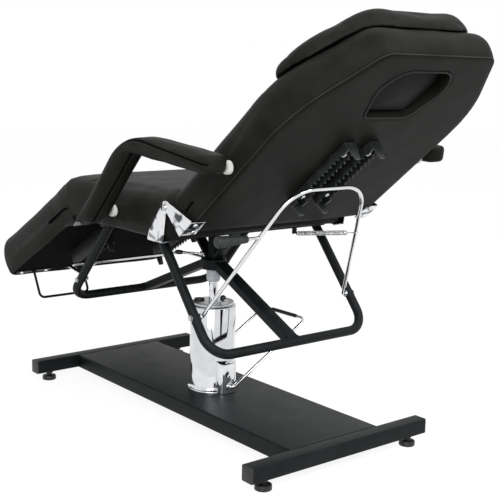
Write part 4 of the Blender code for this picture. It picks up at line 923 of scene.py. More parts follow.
makeBail("backBail", backPivot, backBar, bails["backBarHalf"], bails["bend"], "bail", "back_bail")
makeBail("legBail", legPivot, legBar, bails["legBarHalf"], bails["legBend"], "leg_catch", "leg_bail")


def makePivotBolts():  # through bolts in the loop legs on which the bails turn
    shapes = []
    for pivot in (backPivot, legPivot):
        for sign in sides.values():
            outer = pivot + np.array([0, sign * (tubes["halfWidth"] + tubes["radius"] - 0.0006), 0])
            shapes += bolt(outer, (0, sign, 0), 0.0068)
            inner = pivot + np.array([0, sign * (tubes["halfWidth"] - tubes["radius"] + 0.0004), 0])
            collar = [(0.0058, 0), (0.0090, 0), (0.0094, 0.0005), (0.0094, 0.0030), (0.0086, 0.0036),
                      (0.0058, 0.0036)]
            shapes.append(lathe(collar, inner, (0, -sign, 0), 28))
    piece("pivotBolts", shapes, zinc, "seat", smoothness=30)


makePivotBolts()


grip = {"length": 0.090, "stub": 0.040, "fat": 0.0145, "thin": 0.009, "ribs": 11}


def makeGrip(g):  # a moulded handle that swells to its end, ringed with shallow ribs
    spot = armPoint(bails["gripAlong"], -1)
    way = np.array([0, -1.0, 0])
    along = np.linspace(0, 1, 12 * g["ribs"] + 1)
    swell = g["thin"] + (g["fat"] - g["thin"]) * np.sin(along * math.pi / 2) ** 1.2
    swell -= 0.0007 * (0.5 + 0.5 * np.cos(2 * math.pi * g["ribs"] * along)) * (along > 0.16) * (along < 0.86)
    profile = np.column_stack([swell, g["stub"] + along * (g["length"] - 0.004)])
    head = [(g["fat"] * 0.97, g["stub"] + g["length"] - 0.0028),
            (g["fat"] * 0.86, g["stub"] + g["length"] - 0.0008), (g["fat"] * 0.5, g["stub"] + g["length"]),
            (0, g["stub"] + g["length"])]
    profile = np.concatenate([[(0, g["stub"] - 0.001), (g["thin"] * 0.8, g["stub"] - 0.001)], profile, head])
    piece("bailGrip", [lathe(profile, spot, way, 40)], gripRubber, "bail", ["bail_grip"])
    stub = rod(evenly([spot + way * 0.0035, spot + way * (g["stub"] + 0.006)], 0.008), 0.0040, 16)
    boss = bead(spot + way * 0.0050, way, 0.0040, 0.0012, 28)
    piece("gripStub", [stub, boss], chrome, "bail")


makeGrip(grip)

spring = {"coils": 34, "wire": 0.0011, "radius": 0.0056, "hook": 0.024, "eye": 0.0055, "along": 0.592,
          "drop": 0.0148}


def makeSpring(s):
    # a tension spring: a closed-wound helix, a hook on the rail tab and a straight tail to a ring
    end = armPoint(s["along"], 1)
    start = np.array([tubes["lugFace"], armPoint(bails["gripAlong"], 1)[1], railLow - s["drop"]])
    axis = unit(end - start)
    start, end = start + axis * 0.0017, end - axis * 0.0064
    length = float(np.linalg.norm(end - start))
    across, other = crossWays(axis)
    turns = np.linspace(0, 2 * math.pi * s["coils"], s["coils"] * 18 + 1)
    along = np.linspace(s["hook"] * 0.25, length - s["hook"], len(turns))
    ease = np.clip(np.minimum(turns, turns[-1] - turns) / (2 * math.pi), 0, 1) ** 0.5
    around = across * np.cos(turns)[:, None] + other * np.sin(turns)[:, None]
    coil = start + axis * along[:, None] + around * (s["radius"] * ease)[:, None]
    hook, tail = axis * s["hook"] * 0.12, axis * s["hook"] * 0.85
    path = np.concatenate([[start, start + hook], coil, [end - tail, end]])
    made = makeObject("bailSpring", [rod(path + columnShift, s["wire"], 8)], zinc)
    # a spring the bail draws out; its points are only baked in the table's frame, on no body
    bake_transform(made)
    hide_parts("bail_spring")
    ring = bead(end + axis * 0.0060, np.cross(axis, across), s["eye"] + 0.001, 0.0012, 32)
    piece("springRing", [ring], zinc, "bail")


makeSpring(spring)
print("bails, grip and spring built")

handle = {"along": 0.466, "drop": 0.093, "y": -0.220, "width": 0.175, "wire": 0.004, "bend": 0.016}


def makeHandle(h):  # a wire pull loop that hangs from two clips below the leg rest
    top = -legRise - clearance
    corners = [(-h["along"], h["y"], top), (-h["along"], h["y"], top - h["drop"]),
               (-h["along"], h["y"] + h["width"], top - h["drop"]), (-h["along"], h["y"] + h["width"], top)]
    wire = [rod(arcs(corners, h["bend"], 10), h["wire"], 14)]
    piece("pullHandle", placed(wire, "leg_rest"), coat, "leg_rest", ["pull_handle"])
    clips, screws = [], []
    for y in (h["y"], h["y"] + h["width"]):  # a strip across the board clamps each end of the wire
        plan = arcs(np.array([(-0.011, -0.060), (0.011, -0.060), (0.011, 0.060), (-0.011, 0.060)])
                    + [-h["along"], y], 0.006, 5, True)
        clips.append(slab(plan, top - 0.0022, top - 0.0001, 0.0006, 2))
        clips.append(lathe([(0.0042, 0), (0.0078, 0), (0.0074, -0.005), (0.0042, -0.006)],
                           (-h["along"], y, top - 0.0022), count=28))
        for off in (-0.043, 0.043):
            screws.append(panScrew((-h["along"], y + off, top - 0.0022)))
    piece("handleClips", placed(clips, "leg_rest"), coat, "leg_rest", smoothness=34)
    piece("handleScrews", placed(screws, "leg_rest"), chrome, "leg_rest", smoothness=34)


makeHandle(handle)


# Upholstery: padded forms drawn in their section's frame, then blown up a little as cloth
pads = {"half": 0.305, "boardThick": 0.015, "top": 0.030, "crown": 0.009, "gap": 0.006, "seatLength": 0.483,
        "backLength": 0.700, "taper": 0.490, "headHalf": 0.178, "thinStart": 0.400, "thin": 0.30,
        "legLength": 0.522, "legExtra": 0.010, "voxel": 0.0062, "inset": 0.0015, "low": 0.002,
        "dome": 0.006, "cap": 0.004, "pressure": 4.0}
padBase = pads["boardThick"] + clearance - hingeRise


def sideLevels(low, top, tuck):
    # (inset, height) from the rolled lower edge up the side and over to the top panel
    base = padBase if low < -0.05 else low
    tall = top - base
    return [(tuck + 0.010, low), (tuck + 0.0042, low + 0.0012), (tuck + 0.0012, low + 0.0048),
            (tuck, low + 0.010), (0.0030, base + 0.12 * tall), (0.0010, base + 0.25 * tall),
            (0.0, base + 0.45 * tall), (0.0040, base + 0.66 * tall), (0.0080, base + 0.76 * tall),
            (0.0130, base + 0.84 * tall), (0.0200, base + 0.91 * tall), (0.0280, base + 0.96 * tall)]


def insetOf(points, loop):  # least distance from flat points to a closed loop, taken side by side
    start, way = loop, np.roll(loop, -1, axis=0) - loop
    offset = points[:, None] - start[None]
    share = np.clip(np.sum(offset * way, axis=2) / np.sum(way * way, axis=1), 0, 1)
    return np.linalg.norm(offset - share[:, :, None] * way, axis=2).min(axis=1)


def closedEvenly(loop, step):
    return evenly(np.concatenate([loop, loop[:1]]), step)[:-1]


def paddedForm(corners, radii, low, top, crown, tuck=0.006, hole=False, thin=0.0, inner=14):
    # rings up the side, then rings drawn in to the middle or to a hole, the top a function of the inset
    outline = closedEvenly(arcs(corners, radii, 10, True), 0.008)
    count = len(outline)
    levels = sideLevels(low, top, tuck)
    rings = [np.column_stack([mitred(outline, inset), np.full(count, level)]) for inset, level in levels]
    middle = np.array(faceHole["centre"]) if hole else outline.mean(axis=0)
    share = np.linspace(0, 1, inner + 1)[1:, None, None]
    if hole:
        offset = outline - middle
        angle = np.arctan2(offset[:, 1], offset[:, 0])
        goal = middle + reachAt(holeLoop(0), middle, angle)[:, None] * unit(offset)
    else:
        goal = np.repeat(middle[None], count, axis=0)
        share = share * 0.98
    upper = rings[-1][None, :, :2] * (1 - share) + goal[None] * share
    depth = insetOf(upper.reshape(-1, 2), outline).reshape(upper.shape[:2])
    height = np.interp(depth, [0.028, 0.060, 0.105, 0.200], [levels[-1][1], top + 0.35 * crown,
                                                             top + 0.75 * crown, top + crown])
    above = np.concatenate([upper, height[..., None]], axis=2)
    under = rings[0][None, :, :2] * (1 - share[::-1]) + goal[None] * share[::-1]
    below = np.concatenate([under, np.full((*under.shape[:2], 1), low)], axis=2)
    grid = np.concatenate([below, np.stack(rings), above])
    part = np.clip((grid[..., 0] - pads["thinStart"]) / (pads["backLength"] - pads["thinStart"]), 0, 1)
    base = max(low, padBase)
    grid[..., 2] = np.where(grid[..., 2] > base, base + (grid[..., 2] - base) * (1 - thin * part ** 2),
                            grid[..., 2])
    return tubeGrid(grid, ring=hole)


faceHole = {"centre": (0.556, 0.0), "corners": ((0.477, 0.068), (0.575, 0.104), (0.635, 0.074)),
            "bends": (0.022, 0.060, 0.045)}


def holeLoop(clear):  # the face hole's six-sided outline with rounded corners, moved in by a clearance
    right = np.array(faceHole["corners"])
    corners = np.concatenate([right * [1, -1], right[::-1]])
    bends = np.array(faceHole["bends"] + faceHole["bends"][::-1]) - clear
    return closedEvenly(arcs(mitred(corners, clear), bends, 10, True), 0.003)


def reachAt(loop, centre, angle):  # distance from a middle to a loop round it, in the given directions
    offset = loop - centre
    turn = np.arctan2(offset[:, 1], offset[:, 0])
    order = np.argsort(turn)
    return np.interp(angle, turn[order], np.linalg.norm(offset, axis=1)[order], period=2 * math.pi)


def outsideHole(points):  # how far flat points lie outside the face hole, along the line from its middle
    offset = points[:, :2] - faceHole["centre"]
    angle = np.arctan2(offset[:, 1], offset[:, 0])
    return np.linalg.norm(offset, axis=1) - reachAt(holeLoop(0), np.array(faceHole["centre"]), angle)


softening = []  # padded pieces waiting for their cloth pass
clothFrames = 20
cover = {"quality": 4, "mass": 0.4, "tension_stiffness": 22, "compression_stiffness": 22,
         "shear_stiffness": 12, "bending_stiffness": 1.5}


def soften(name, shape, k, held, after, finish=leather):
    made = makeObject(name, [shape], finish)
    remesh = made.modifiers.new("remesh", "REMESH")
    remesh.mode = "VOXEL"
    remesh.voxel_size = k["voxel"]
    ease = made.modifiers.new("ease", "SMOOTH")
    ease.iterations = 4
    ease.factor = 0.5
    graph = bpy.context.evaluated_depsgraph_get()
    mesh = bpy.data.meshes.new_from_object(made.evaluated_get(graph))
    made.modifiers.clear()
    made.data = mesh
    mesh.name = name
    rest = meshPoints(mesh)
    group = made.vertex_groups.new(name="held")
    group.add(np.flatnonzero(held(rest)).tolist(), 1.0, "REPLACE")
    cloth = made.modifiers.new("cloth", "CLOTH")
    for key, value in cover.items():
        setattr(cloth.settings, key, value)
    cloth.settings.use_pressure = True
    cloth.settings.uniform_pressure_force = k["pressure"]
    cloth.settings.vertex_group_mass = "held"
    cloth.settings.effector_weights.gravity = 0
    cloth.collision_settings.use_collision = False
    cloth.point_cache.frame_start = 1
    cloth.point_cache.frame_end = clothFrames
    softening.append({"object": made, "rest": rest, "cap": k["cap"], "after": after})
    return made


def meshPoints(mesh):
    points = np.empty(len(mesh.vertices) * 3, np.float32)
    mesh.vertices.foreach_get("co", points)
    return points.reshape(-1, 3).astype(float)


def meshNormals(mesh):
    normals = np.empty(len(mesh.vertices) * 3, np.float32)
    mesh.vertices.foreach_get("normal", normals)
    return normals.reshape(-1, 3).astype(float)


def setPoints(mesh, points):
    mesh.vertices.foreach_set("co", points.astype(np.float32).ravel())
    mesh.update()


def blowUp():  # one run of frames for all the padded pieces, each point's move capped
    scene = bpy.context.scene
    scene.frame_start, scene.frame_end = 1, clothFrames
    for number in range(1, clothFrames + 1):
        scene.frame_set(number)
    graph = bpy.context.evaluated_depsgraph_get()
    results = []
    for entry in softening:
        mesh = bpy.data.meshes.new_from_object(entry["object"].evaluated_get(graph))
        results.append(meshPoints(mesh))
        bpy.data.meshes.remove(mesh)
    for entry, points in zip(softening, results):
        made, rest = entry["object"], entry["rest"]
        made.modifiers.clear()
        move = points - rest
        length = np.linalg.norm(move, axis=1, keepdims=True)
        points = rest + move * np.minimum(1, entry["cap"] / np.maximum(length, 1e-9))
        print(f"  {made.name}: {len(rest)} points, moved up to {1000 * length.max():.1f} mm")
        setPoints(made.data, points)
        entry["after"](made)
    scene.frame_set(1)


def ripple(points, size, height, seed):
    # a soft sum of waves with fixed random ways, for foam that isn't dead flat
    chance = np.random.default_rng(seed)
    ways = unit(chance.normal(size=(7, 3))) * (2 * math.pi / size) * chance.uniform(0.6, 1.6, (7, 1))
    return height * np.sin(points @ ways.T + chance.uniform(0, 2 * math.pi, 7)).sum(axis=1) / 3


def groove(made, path, depth, width):  # the skin drawn in along a path, falling off as a bell curve
    points, normals = meshPoints(made.data), meshNormals(made.data)
    low, high = path.min(axis=0) - 3 * width, path.max(axis=0) + 3 * width
    close = np.flatnonzero(((points > low) & (points < high)).all(axis=1))
    far = np.full(len(points), 1.0)
    way = np.diff(path, axis=0)
    offset = points[close][:, None] - path[:-1][None]
    share = np.clip(np.sum(offset * way, axis=2) / np.sum(way * way, axis=1), 0, 1)
    far[close] = np.linalg.norm(offset - share[:, :, None] * way, axis=2).min(axis=1)
    setPoints(made.data, points - normals * (depth * np.exp(-(far / width) ** 2))[:, None])


def putInPlace(made, hingeAt, angle):  # a mesh drawn in a section's frame, moved to the table's
    setPoints(made.data, turned(meshPoints(made.data), hingeAt, angle) + columnShift)


def settle(made, hingeAt, angle, body, nodes, seed):
    # the finished pad in the table's place, with one subdivision
    points = meshPoints(made.data)
    setPoints(made.data, points + meshNormals(made.data) * ripple(points, size=0.16, height=0.0007,
                                                                  seed=seed)[:, None])
    putInPlace(made, hingeAt, angle)
    made.data.shade_smooth()
    finer = made.modifiers.new("finer", "SUBSURF")
    finer.levels = finer.render_levels = 1
    finer.boundary_smooth = "ALL"
    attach(made, body)
    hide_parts(*nodes)


def rectangle(start, end, half):
    return [(start, -half), (end, -half), (end, half), (start, half)]


def tapered(start, end, half, taper, headHalf):
    return [(start, -half), (taper, -half), (end, -headHalf), (end, headHalf), (taper, half), (start, half)]


seatCorners = rectangle(-pads["seatLength"] + pads["gap"], -pads["gap"], pads["half"])
backCorners = tapered(pads["gap"], pads["backLength"], pads["half"], pads["taper"], pads["headHalf"])
legCorners = rectangle(-pads["legLength"], -pads["gap"], pads["half"])
backRadii = [0.02, 0.34, 0.05, 0.05, 0.34, 0.02]
legLift = np.array([0, 0, hingeRise - legRise])
underSide = -hingeRise + 0.0004


def lined(made):  # the flat underside takes the dust cloth
    normals = np.empty(len(made.data.polygons) * 3, np.float32)
    made.data.polygons.foreach_get("normal", normals)
    # the dust cloth's near-black is partly painted shade
    made.data.materials.append(dustCloth)
    made.data.polygons.foreach_set("material_index", (normals.reshape(-1, 3)[:, 2] < -0.93).astype(np.int32))


def seamOn(name, sign, made, path, hingeAt, angle, body, least=0.0):
    # a seam drawn in a section's frame, then put in place
    spots = onSkin(made, path, 0.0006)
    spots[:, 1] = sign * np.maximum(np.abs(spots[:, 1]), least)
    line = makeObject(f"{name}_{'left' if sign < 0 else 'right'}", [rod(evenly(spots, 0.004), 0.0027, 8)],
                      thread)
    putInPlace(line, hingeAt, angle)
    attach(line, body)


def finishSeat(made):
    lined(made)
    settle(made, backHinge, 0.0, "seat", ["seat_board", "seat_cushion"], seed=3)


def finishBack(made):
    for sign in sides.values():
        fold = evenly([(0.0928, sign * 0.3045, -0.0441), (0.0766, sign * 0.3045, -0.0450),
                       (0.0556, sign * 0.3040, -0.0485)], 0.004)
        groove(made, fold, depth=0.0032, width=0.0040)
        seamOn("backFold", sign, made, fold, backHinge, backAngle, "backrest")
    outline = closedEvenly(arcs(mitred(backCorners, pads["inset"]), backRadii, 10, True), 0.007)
    edge = np.column_stack([mitred(outline, 0.0085), np.full(len(outline), underSide + 0.0020)])
    # the piping's lighter vinyl is a painted highlight along the panel edge
    piping = makeObject("backPiping", [rod(onSkin(made, edge, 0.0002), 0.0013, 8, ring=True)], weltPaintedHighlight)
    putInPlace(piping, backHinge, backAngle)
    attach(piping, "backrest")
    settle(made, backHinge, backAngle, "backrest", ["back_board", "back_cushion"],
           seed=5)


def finishLeg(made):
    setPoints(made.data, meshPoints(made.data) + legLift)
    lined(made)
    for sign in sides.values():  # the dart sewn into each flank near the seat
        dart = np.array([(-0.134, 0.0347), (-0.1036, 0.0376), (-0.0753, 0.0375), (-0.0347, 0.0358),
                         (-0.0120, 0.0322)])
        path = evenly(np.column_stack([dart[:, 0], np.full(5, sign * 0.3045), dart[:, 1]]), 0.004)
        groove(made, path, depth=0.0036, width=0.0050)
        seamOn("legDart", sign, made, path, legHinge, legAngle, "leg_rest", least=0.3036)
    settle(made, legHinge, legAngle, "leg_rest", ["leg_board", "leg_cushion"], seed=7)


def lowHeld(points):
    return points[:, 2] < underSide + 0.004


seatForm = paddedForm(mitred(seatCorners, pads["inset"]), [0.006, 0.02, 0.02, 0.006], underSide,
                      pads["top"] - pads["low"], pads["dome"])
soften("seatPad", seatForm, pads, lowHeld, finishSeat)
backForm = paddedForm(mitred(backCorners, pads["inset"]), backRadii, underSide, pads["top"] - pads["low"],
                      pads["dome"], hole=True, thin=pads["thin"])


def backHeld(points):
    return lowHeld(points) | (outsideHole(points) < 0.016)


soften("backPad", backForm, pads, backHeld, finishBack)
legForm = paddedForm(mitred(legCorners, pads["inset"]), [0.046, 0.006, 0.006, 0.046], underSide,
                     pads["top"] + pads["legExtra"] - pads["low"], pads["dome"])
soften("legPad", legForm, pads, lowHeld, finishLeg)


# Head pillow: its underside lies on the backrest's top
pillow = {"start": 0.455, "end": 0.694, "half": 0.266, "headHalf": 0.142, "height": 0.078, "sink": 0.055,
          "voxel": 0.0050, "cap": 0.005, "pressure": 4.5}


def backTop(points):  # height of the backrest's top skin over flat points of its own frame
    outline = closedEvenly(arcs(backCorners, backRadii, 10, True), 0.008)
    depth = insetOf(points, outline)
    tall = pads["top"] - padBase
    height = np.interp(depth, [0.004, 0.013, 0.028, 0.060, 0.105, 0.200],
                       [padBase + 0.66 * tall, padBase + 0.84 * tall, padBase + 0.96 * tall,
                        pads["top"] + 0.35 * pads["crown"], pads["top"] + 0.75 * pads["crown"],
                        pads["top"] + pads["crown"]])
    part = np.clip((points[:, 0] - pads["thinStart"]) / (pads["backLength"] - pads["thinStart"]), 0, 1)
    return padBase + (height - padBase) * (1 - pads["thin"] * part ** 2)


def pillowForm(p):
    corners = tapered(p["start"], p["end"], p["half"], pads["taper"] + 0.06, p["headHalf"])
    outline = closedEvenly(arcs(mitred(corners, 0.0015), [0.022, 0.19, 0.10, 0.10, 0.19, 0.022], 10, True),
                           0.006)
    count = len(outline)
    peak = pads["top"] + pads["crown"]
    low = peak - p["sink"]
    top = low + p["height"] - 0.002
    tall = top - low
    side = [(0.0024, 0.02), (0.0010, 0.10), (0.0002, 0.25), (0.0, 0.45), (0.0024, 0.64), (0.0052, 0.75),
            (0.0090, 0.83), (0.0140, 0.90), (0.0200, 0.96)]
    rings = [np.column_stack([mitred(outline, inset), np.full(count, low + share * tall)])
             for inset, share in side]
    share = np.linspace(0, 1, 11)[1:, None, None] * 0.98
    middle = outline.mean(axis=0)
    upper = rings[-1][None, :, :2] * (1 - share) + middle * share
    depth = insetOf(upper.reshape(-1, 2), outline).reshape(upper.shape[:2])
    height = np.interp(depth, [0.020, 0.036, 0.060, 0.100, 0.160],
                       low + np.array([0.96, 1.06, 1.15, 1.22, 1.26]) * tall)
    under = rings[0][None, :, :2] * (1 - share[::-1]) + middle * share[::-1]
    grid = np.concatenate([
        np.concatenate([under, np.full((*under.shape[:2], 1), low)], axis=2), np.stack(rings),
        np.concatenate([upper, height[..., None]], axis=2),
    ])
    floor = backTop(grid[..., :2].reshape(-1, 2)).reshape(grid.shape[:2]) + 0.0008
    grid[..., 2] = np.maximum(grid[..., 2], floor)
    return tubeGrid(grid)


def pillowHeld(points):
    return points[:, 2] < backTop(points[:, :2]) + 0.006


def finishPillow(made):
    points = meshPoints(made.data)
    floor = backTop(points[:, :2]) + 0.0006
    points[:, 2] = np.maximum(points[:, 2], floor)
    setPoints(made.data, points)
    settle(made, backHinge, backAngle, "pillow", ["head_pillow"], seed=11)


soften("headPillow", pillowForm(pillow), pillow, pillowHeld, finishPillow)

# Face plug: an oval block that fills the hole, its lower face set back
plug = {"clear": 0.0010, "recess": 0.019, "top": 0.006, "bulge": 0.011, "lean": 0.13, "voxel": 0.0042,
        "cap": 0.003, "pressure": 3.0}


def plugForm(p):
    centre = np.array(faceHole["centre"])
    outline = holeLoop(p["clear"])
    count = len(outline)
    low, high = p["recess"] - hingeRise, p["top"]
    turn = np.linspace(0, math.pi / 2, 6)
    edge = 0.012
    levels = [(edge * (1 - math.sin(t)), low + 0.004 + edge * (1 - math.cos(t))) for t in turn]
    levels += [(edge * (1 - math.cos(t)), high - 0.002 - edge * (1 - math.sin(t))) for t in turn]
    rings = np.stack([np.column_stack([mitred(outline, inset), np.full(count, level)])
                      for inset, level in levels])
    share = np.linspace(0, 1, 9)[1:, None, None] * 0.97
    crown = np.sin(share[:, :, 0] * math.pi / 2)
    below = np.concatenate([rings[0][None, :, :2] * (1 - share) + centre * share,
                            np.broadcast_to(low + 0.004 - p["bulge"] * crown[..., None], (8, count, 1))],
                           axis=2)[::-1]
    above = np.concatenate([rings[-1][None, :, :2] * (1 - share) + centre * share,
                            np.broadcast_to(high - 0.002 + 0.002 * crown[..., None], (8, count, 1))], axis=2)
    grid = np.concatenate([below, rings, above])
    share = np.clip((high - grid[..., 2]) / (high - low), 0, 1)
    # the lower face leans, near flush at its hinge end
    grid[..., 2] += share * p["lean"] * (grid[..., 0] - centre[0])
    return tubeGrid(grid)


def plugHeld(points):
    return outsideHole(points) > -0.005


def finishPlug(made):
    settle(made, backHinge, backAngle, "plug", ["face_plug"], seed=13)


# the plug's lighter vinyl is painted light against the recess's shade
soften("facePlug", plugForm(plug), plug, plugHeld, finishPlug, plugVinylPaintedLight)

# Armrests: one sleeve from the post round the elbow to the pad, two side panels sewn to a strip
arm = {"elbow": (0.161, 0.7635), "postAngle": 45.8, "postLength": 0.271, "postThick": 0.049, "heel": 0.080,
       "padAngle": -5.2, "padLength": 0.336, "padHeight": 0.047, "inner": 0.325, "width": 0.070,
       "outerBend": 0.200, "innerBend": 0.020, "edge": 4.2, "tongue": 0.034, "voxel": 0.0030, "cap": 0.0025,
       "pressure": 2.5}


def armLines(a):  # the outer and inner edge of the sleeve in x and z, point for point, inset a little
    post, pad = math.radians(a["postAngle"]), math.radians(a["padAngle"])
    up, out = np.array([math.cos(post), math.sin(post)]), np.array([-math.sin(post), math.cos(post)])
    ahead, above = np.array([math.cos(pad), math.sin(pad)]), np.array([-math.sin(pad), math.cos(pad)])
    elbow = np.array(a["elbow"])
    mitre = unit(out + above)
    peak = elbow + mitre * (a["padHeight"] / (mitre @ above))
    heel = elbow - up * a["postLength"]
    toe = heel + out * a["postThick"] - up * a["heel"]
    end = elbow + ahead * a["padLength"]
    lines = []
    for corners, bend in (((toe, peak, end + above * a["padHeight"]), a["outerBend"]),
                          ((heel, elbow, end), a["innerBend"])):
        curve = arcs(np.array(corners), [0, bend, 0], 14)
        first, last = curve[0], curve[-1]
        post = first + (curve[1] - first) * np.linspace(0, 1, 26)[:-1, None]
        pad = curve[-2] + (last - curve[-2]) * np.linspace(0, 1, 32)[1:, None]
        lines.append(np.concatenate([post, curve[1:-1], pad]))
    return np.array(lines)


def armForm(a, sign, inset=0.0012):
    # squarish ovals along the sleeve; both ends round off across y as a tongue and a little in height
    outer, inner = armLines(a)
    middle, reach = (outer + inner) / 2, (outer - inner) / 2
    reach = reach * (1 - inset / np.linalg.norm(reach, axis=1, keepdims=True))
    along = np.concatenate([[0], np.cumsum(np.linalg.norm(np.diff(middle, axis=0), axis=1))])
    tip = a["tongue"] * (1 - np.cos(np.linspace(0, math.pi / 2, 10)))
    places = np.concatenate([tip, np.linspace(a["tongue"], along[-1] - a["tongue"], 72)[1:-1],
                             along[-1] - tip[::-1]])
    near = np.minimum(places, along[-1] - places)
    broad = np.maximum(1 - (1 - np.minimum(near / a["tongue"], 1)) ** 2.4, 0.03) ** (1 / 2.4)
    high = 1 - 0.34 * (1 - np.minimum(near / 0.016, 1)) ** 2
    turn = np.linspace(0, 2 * math.pi, 56, endpoint=False)
    wide = np.sign(np.cos(turn)) * np.abs(np.cos(turn)) ** (2 / a["edge"])
    tall = np.sign(np.sin(turn)) * np.abs(np.sin(turn)) ** (2 / a["edge"])
    spot = np.stack([np.interp(places, along, middle[:, k]) for k in (0, 1)], axis=1)[:, None]
    way = np.stack([np.interp(places, along, reach[:, k]) for k in (0, 1)], axis=1)[:, None]
    way = way * high[:, None, None]
    half = (a["width"] / 2 - inset) * broad[:, None]
    side = sign * (a["inner"] + a["width"] / 2) + wide[None] * half
    flat = spot + tall[None, :, None] * way
    return tubeGrid(np.stack([flat[..., 0], side, flat[..., 1]], axis=-1))


# First and last share of the sleeve, lift at both ends between lower and upper face, place across
seamKinds = {
    "cheek": (0.44, 1.0, 0.96, -0.02, 1.0),
    "inside": (0.44, 1.0, 0.96, 0.30, -1.0),
    "under": (0.0, 0.44, -1.0, -1.0, 0.30),
}


def seamPath(a, sign, kind):
    # a sewn line along the sleeve, its height a straight blend between two shares of the section
    first, last, lift0, lift1, across = seamKinds[kind]
    outer, inner = armLines(a)
    share = np.linspace(0, 1, len(outer))
    keep = (share >= first) & (share <= last)
    lift = lift0 + (lift1 - lift0) * (share[keep] - first) / (last - first)
    spot = (outer + inner)[keep] / 2 + (outer - inner)[keep] / 2 * lift[:, None]
    y = sign * (a["inner"] + a["width"] / 2 * (1 + across))
    return evenly(np.column_stack([spot[:, 0], np.full(len(spot), y), spot[:, 1]]), 0.003)


def onSkin(made, path, lift):  # path points moved to the nearest skin and a little out of it
    tree = BVHTree.FromPolygons(meshPoints(made.data).tolist(),
                                [tuple(face.vertices) for face in made.data.polygons])
    found = [tree.find_nearest(Vector(point)) for point in path.tolist()]
    return np.array([tuple(spot + normal * lift) for spot, normal, index, distance in found])


def sewn(name, made, path, radius):  # a dark felled seam that lies in its groove
    line = onSkin(made, path, 0.0006)
    return makeObject(name, [rod(evenly(line, 0.004), radius, 8)], thread)


def finishArm(side, sign):
    def done(made):
        paths = [onSkin(made, seamPath(arm, sign, kind), 0.0) for kind in seamKinds]
        for path in paths:
            groove(made, path, depth=0.0026, width=0.0030)
        points = meshPoints(made.data)
        waves = ripple(points, size=0.09, height=0.0006, seed=17)[:, None]
        setPoints(made.data, points + meshNormals(made.data) * waves + columnShift)
        made.data.shade_smooth()
        lines = [sewn(f"armSeam_{side}_{kind}", made, path + columnShift, 0.0018)
                 for kind, path in zip(seamKinds, paths)]
        for thing in [made] + lines:
            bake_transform(thing)
        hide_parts(f"armrest_post_{side}", f"armrest_pad_{side}")
    return done


def armHeld(points):  # the whole sleeve is free to swell
    return points[:, 2] < -10


for side, sign in sides.items():
    soften(f"armrest_{side}", armForm(arm, sign), arm, armHeld, finishArm(side, sign))
blowUp()
print("padding done")


# Rim of the face hole: a welt round its lower edge
def makeHoleRim():
    loop = holeLoop(-0.0028)
    ring = np.column_stack([loop, np.full(len(loop), underSide + 0.0006)])
    welt = placed([rod(ring, 0.0023, 12, ring=True)], "backrest")
    # the welt's lighter vinyl is a painted highlight on the rim
    made = piece("holeWelt", welt, weltPaintedHighlight, "backrest")


makeHoleRim()

# Fold between the seat and the leg rest: a padded wedge shaped to both, built in place on no body
fold = {"reach": 0.120, "sink": 0.0035, "proud": 0.0002, "skin": 0.009, "bend": 0.5}


def padSection(extra, lift):
    # across a pad: y and height over the leg hinge, moved out along the section's own normal
    top, half, dome = pads["top"] - pads["low"] + extra, pads["half"] - pads["inset"], pads["dome"]
    levels = sideLevels(underSide, top, 0.006)
    levels += [(0.060, top + 0.35 * dome), (0.105, top + 0.75 * dome), (0.200, top + dome),
               (half, top + dome)]
    inset, height = np.array(levels).T
    y = np.concatenate([inset - half, (half - inset)[-2::-1]])
    z = np.concatenate([height, height[-2::-1]]) + hingeRise - legRise
    way = unit(np.column_stack([np.gradient(y), np.gradient(z)]))
    return np.column_stack([y, z]) + lift * np.column_stack([-way[:, 1], way[:, 0]])


def foldLine(f, share, bend, lift):
    # one station of the cover: along the seat, round a curve whose corner is the mitre, then along the leg
    seat, leg = padSection(0.0, lift), padSection(pads["legExtra"], lift)
    cosine, sine = math.cos(legAngle), math.sin(legAngle)
    mitre = (seat[:, 1] - leg[:, 1] * cosine) / sine
    corner = np.column_stack([mitre * cosine - leg[:, 1] * sine, seat[:, 1]])

    def onSeat(s):
        return np.column_stack([s, seat[:, 1]])

    def onLeg(s):
        return np.column_stack([s * cosine - leg[:, 1] * sine, s * sine + leg[:, 1] * cosine])

    first, last = f["bend"] * corner[:, 0], f["bend"] * mitre
    if share < 0:
        line = onSeat(first - share * (f["reach"] - first))
    elif share > 0:
        line = onLeg(last - share * (f["reach"] + last))
    else:
        line = (1 - bend) ** 2 * onSeat(first) + 2 * bend * (1 - bend) * corner + bend ** 2 * onLeg(last)
    return np.column_stack([legHinge[0] + columnX + line[:, 0], (seat[:, 0] + leg[:, 0]) / 2,
                            legHinge[2] + line[:, 1]])


def makeFold(f):  # the cover carried over the leg hinge in one skin, its ends sunk in the pads at a low angle
    shares = np.concatenate([np.linspace(-1, -0.05, 12), np.zeros(9), np.linspace(0.05, 1, 12)])
    bends = np.concatenate([np.zeros(12), np.linspace(0, 1, 9), np.ones(12)])
    rings = []
    for share, bend in zip(shares, bends):
        part = min(1.0, (1 - abs(share)) / 0.7)
        lift = -f["sink"] + (f["proud"] + f["sink"]) * part * part * (3 - 2 * part)
        rings.append(np.concatenate([foldLine(f, share, bend, lift),
                                     foldLine(f, share, bend, lift - f["skin"])[::-1]]))
    made = makeObject("foldCover", [tubeGrid(np.stack(rings))], leather, 60)
    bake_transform(made)


makeFold(fold)

# Ends of the armrest's inner strap and the plug that covers its screw
strap = {"tab": [(-0.0790, 0.5760), (-0.1055, 0.5505), (-0.0620, 0.5600)], "tabY": 0.388,
         "eyelet": (0.125, 0.362, 0.7262)}


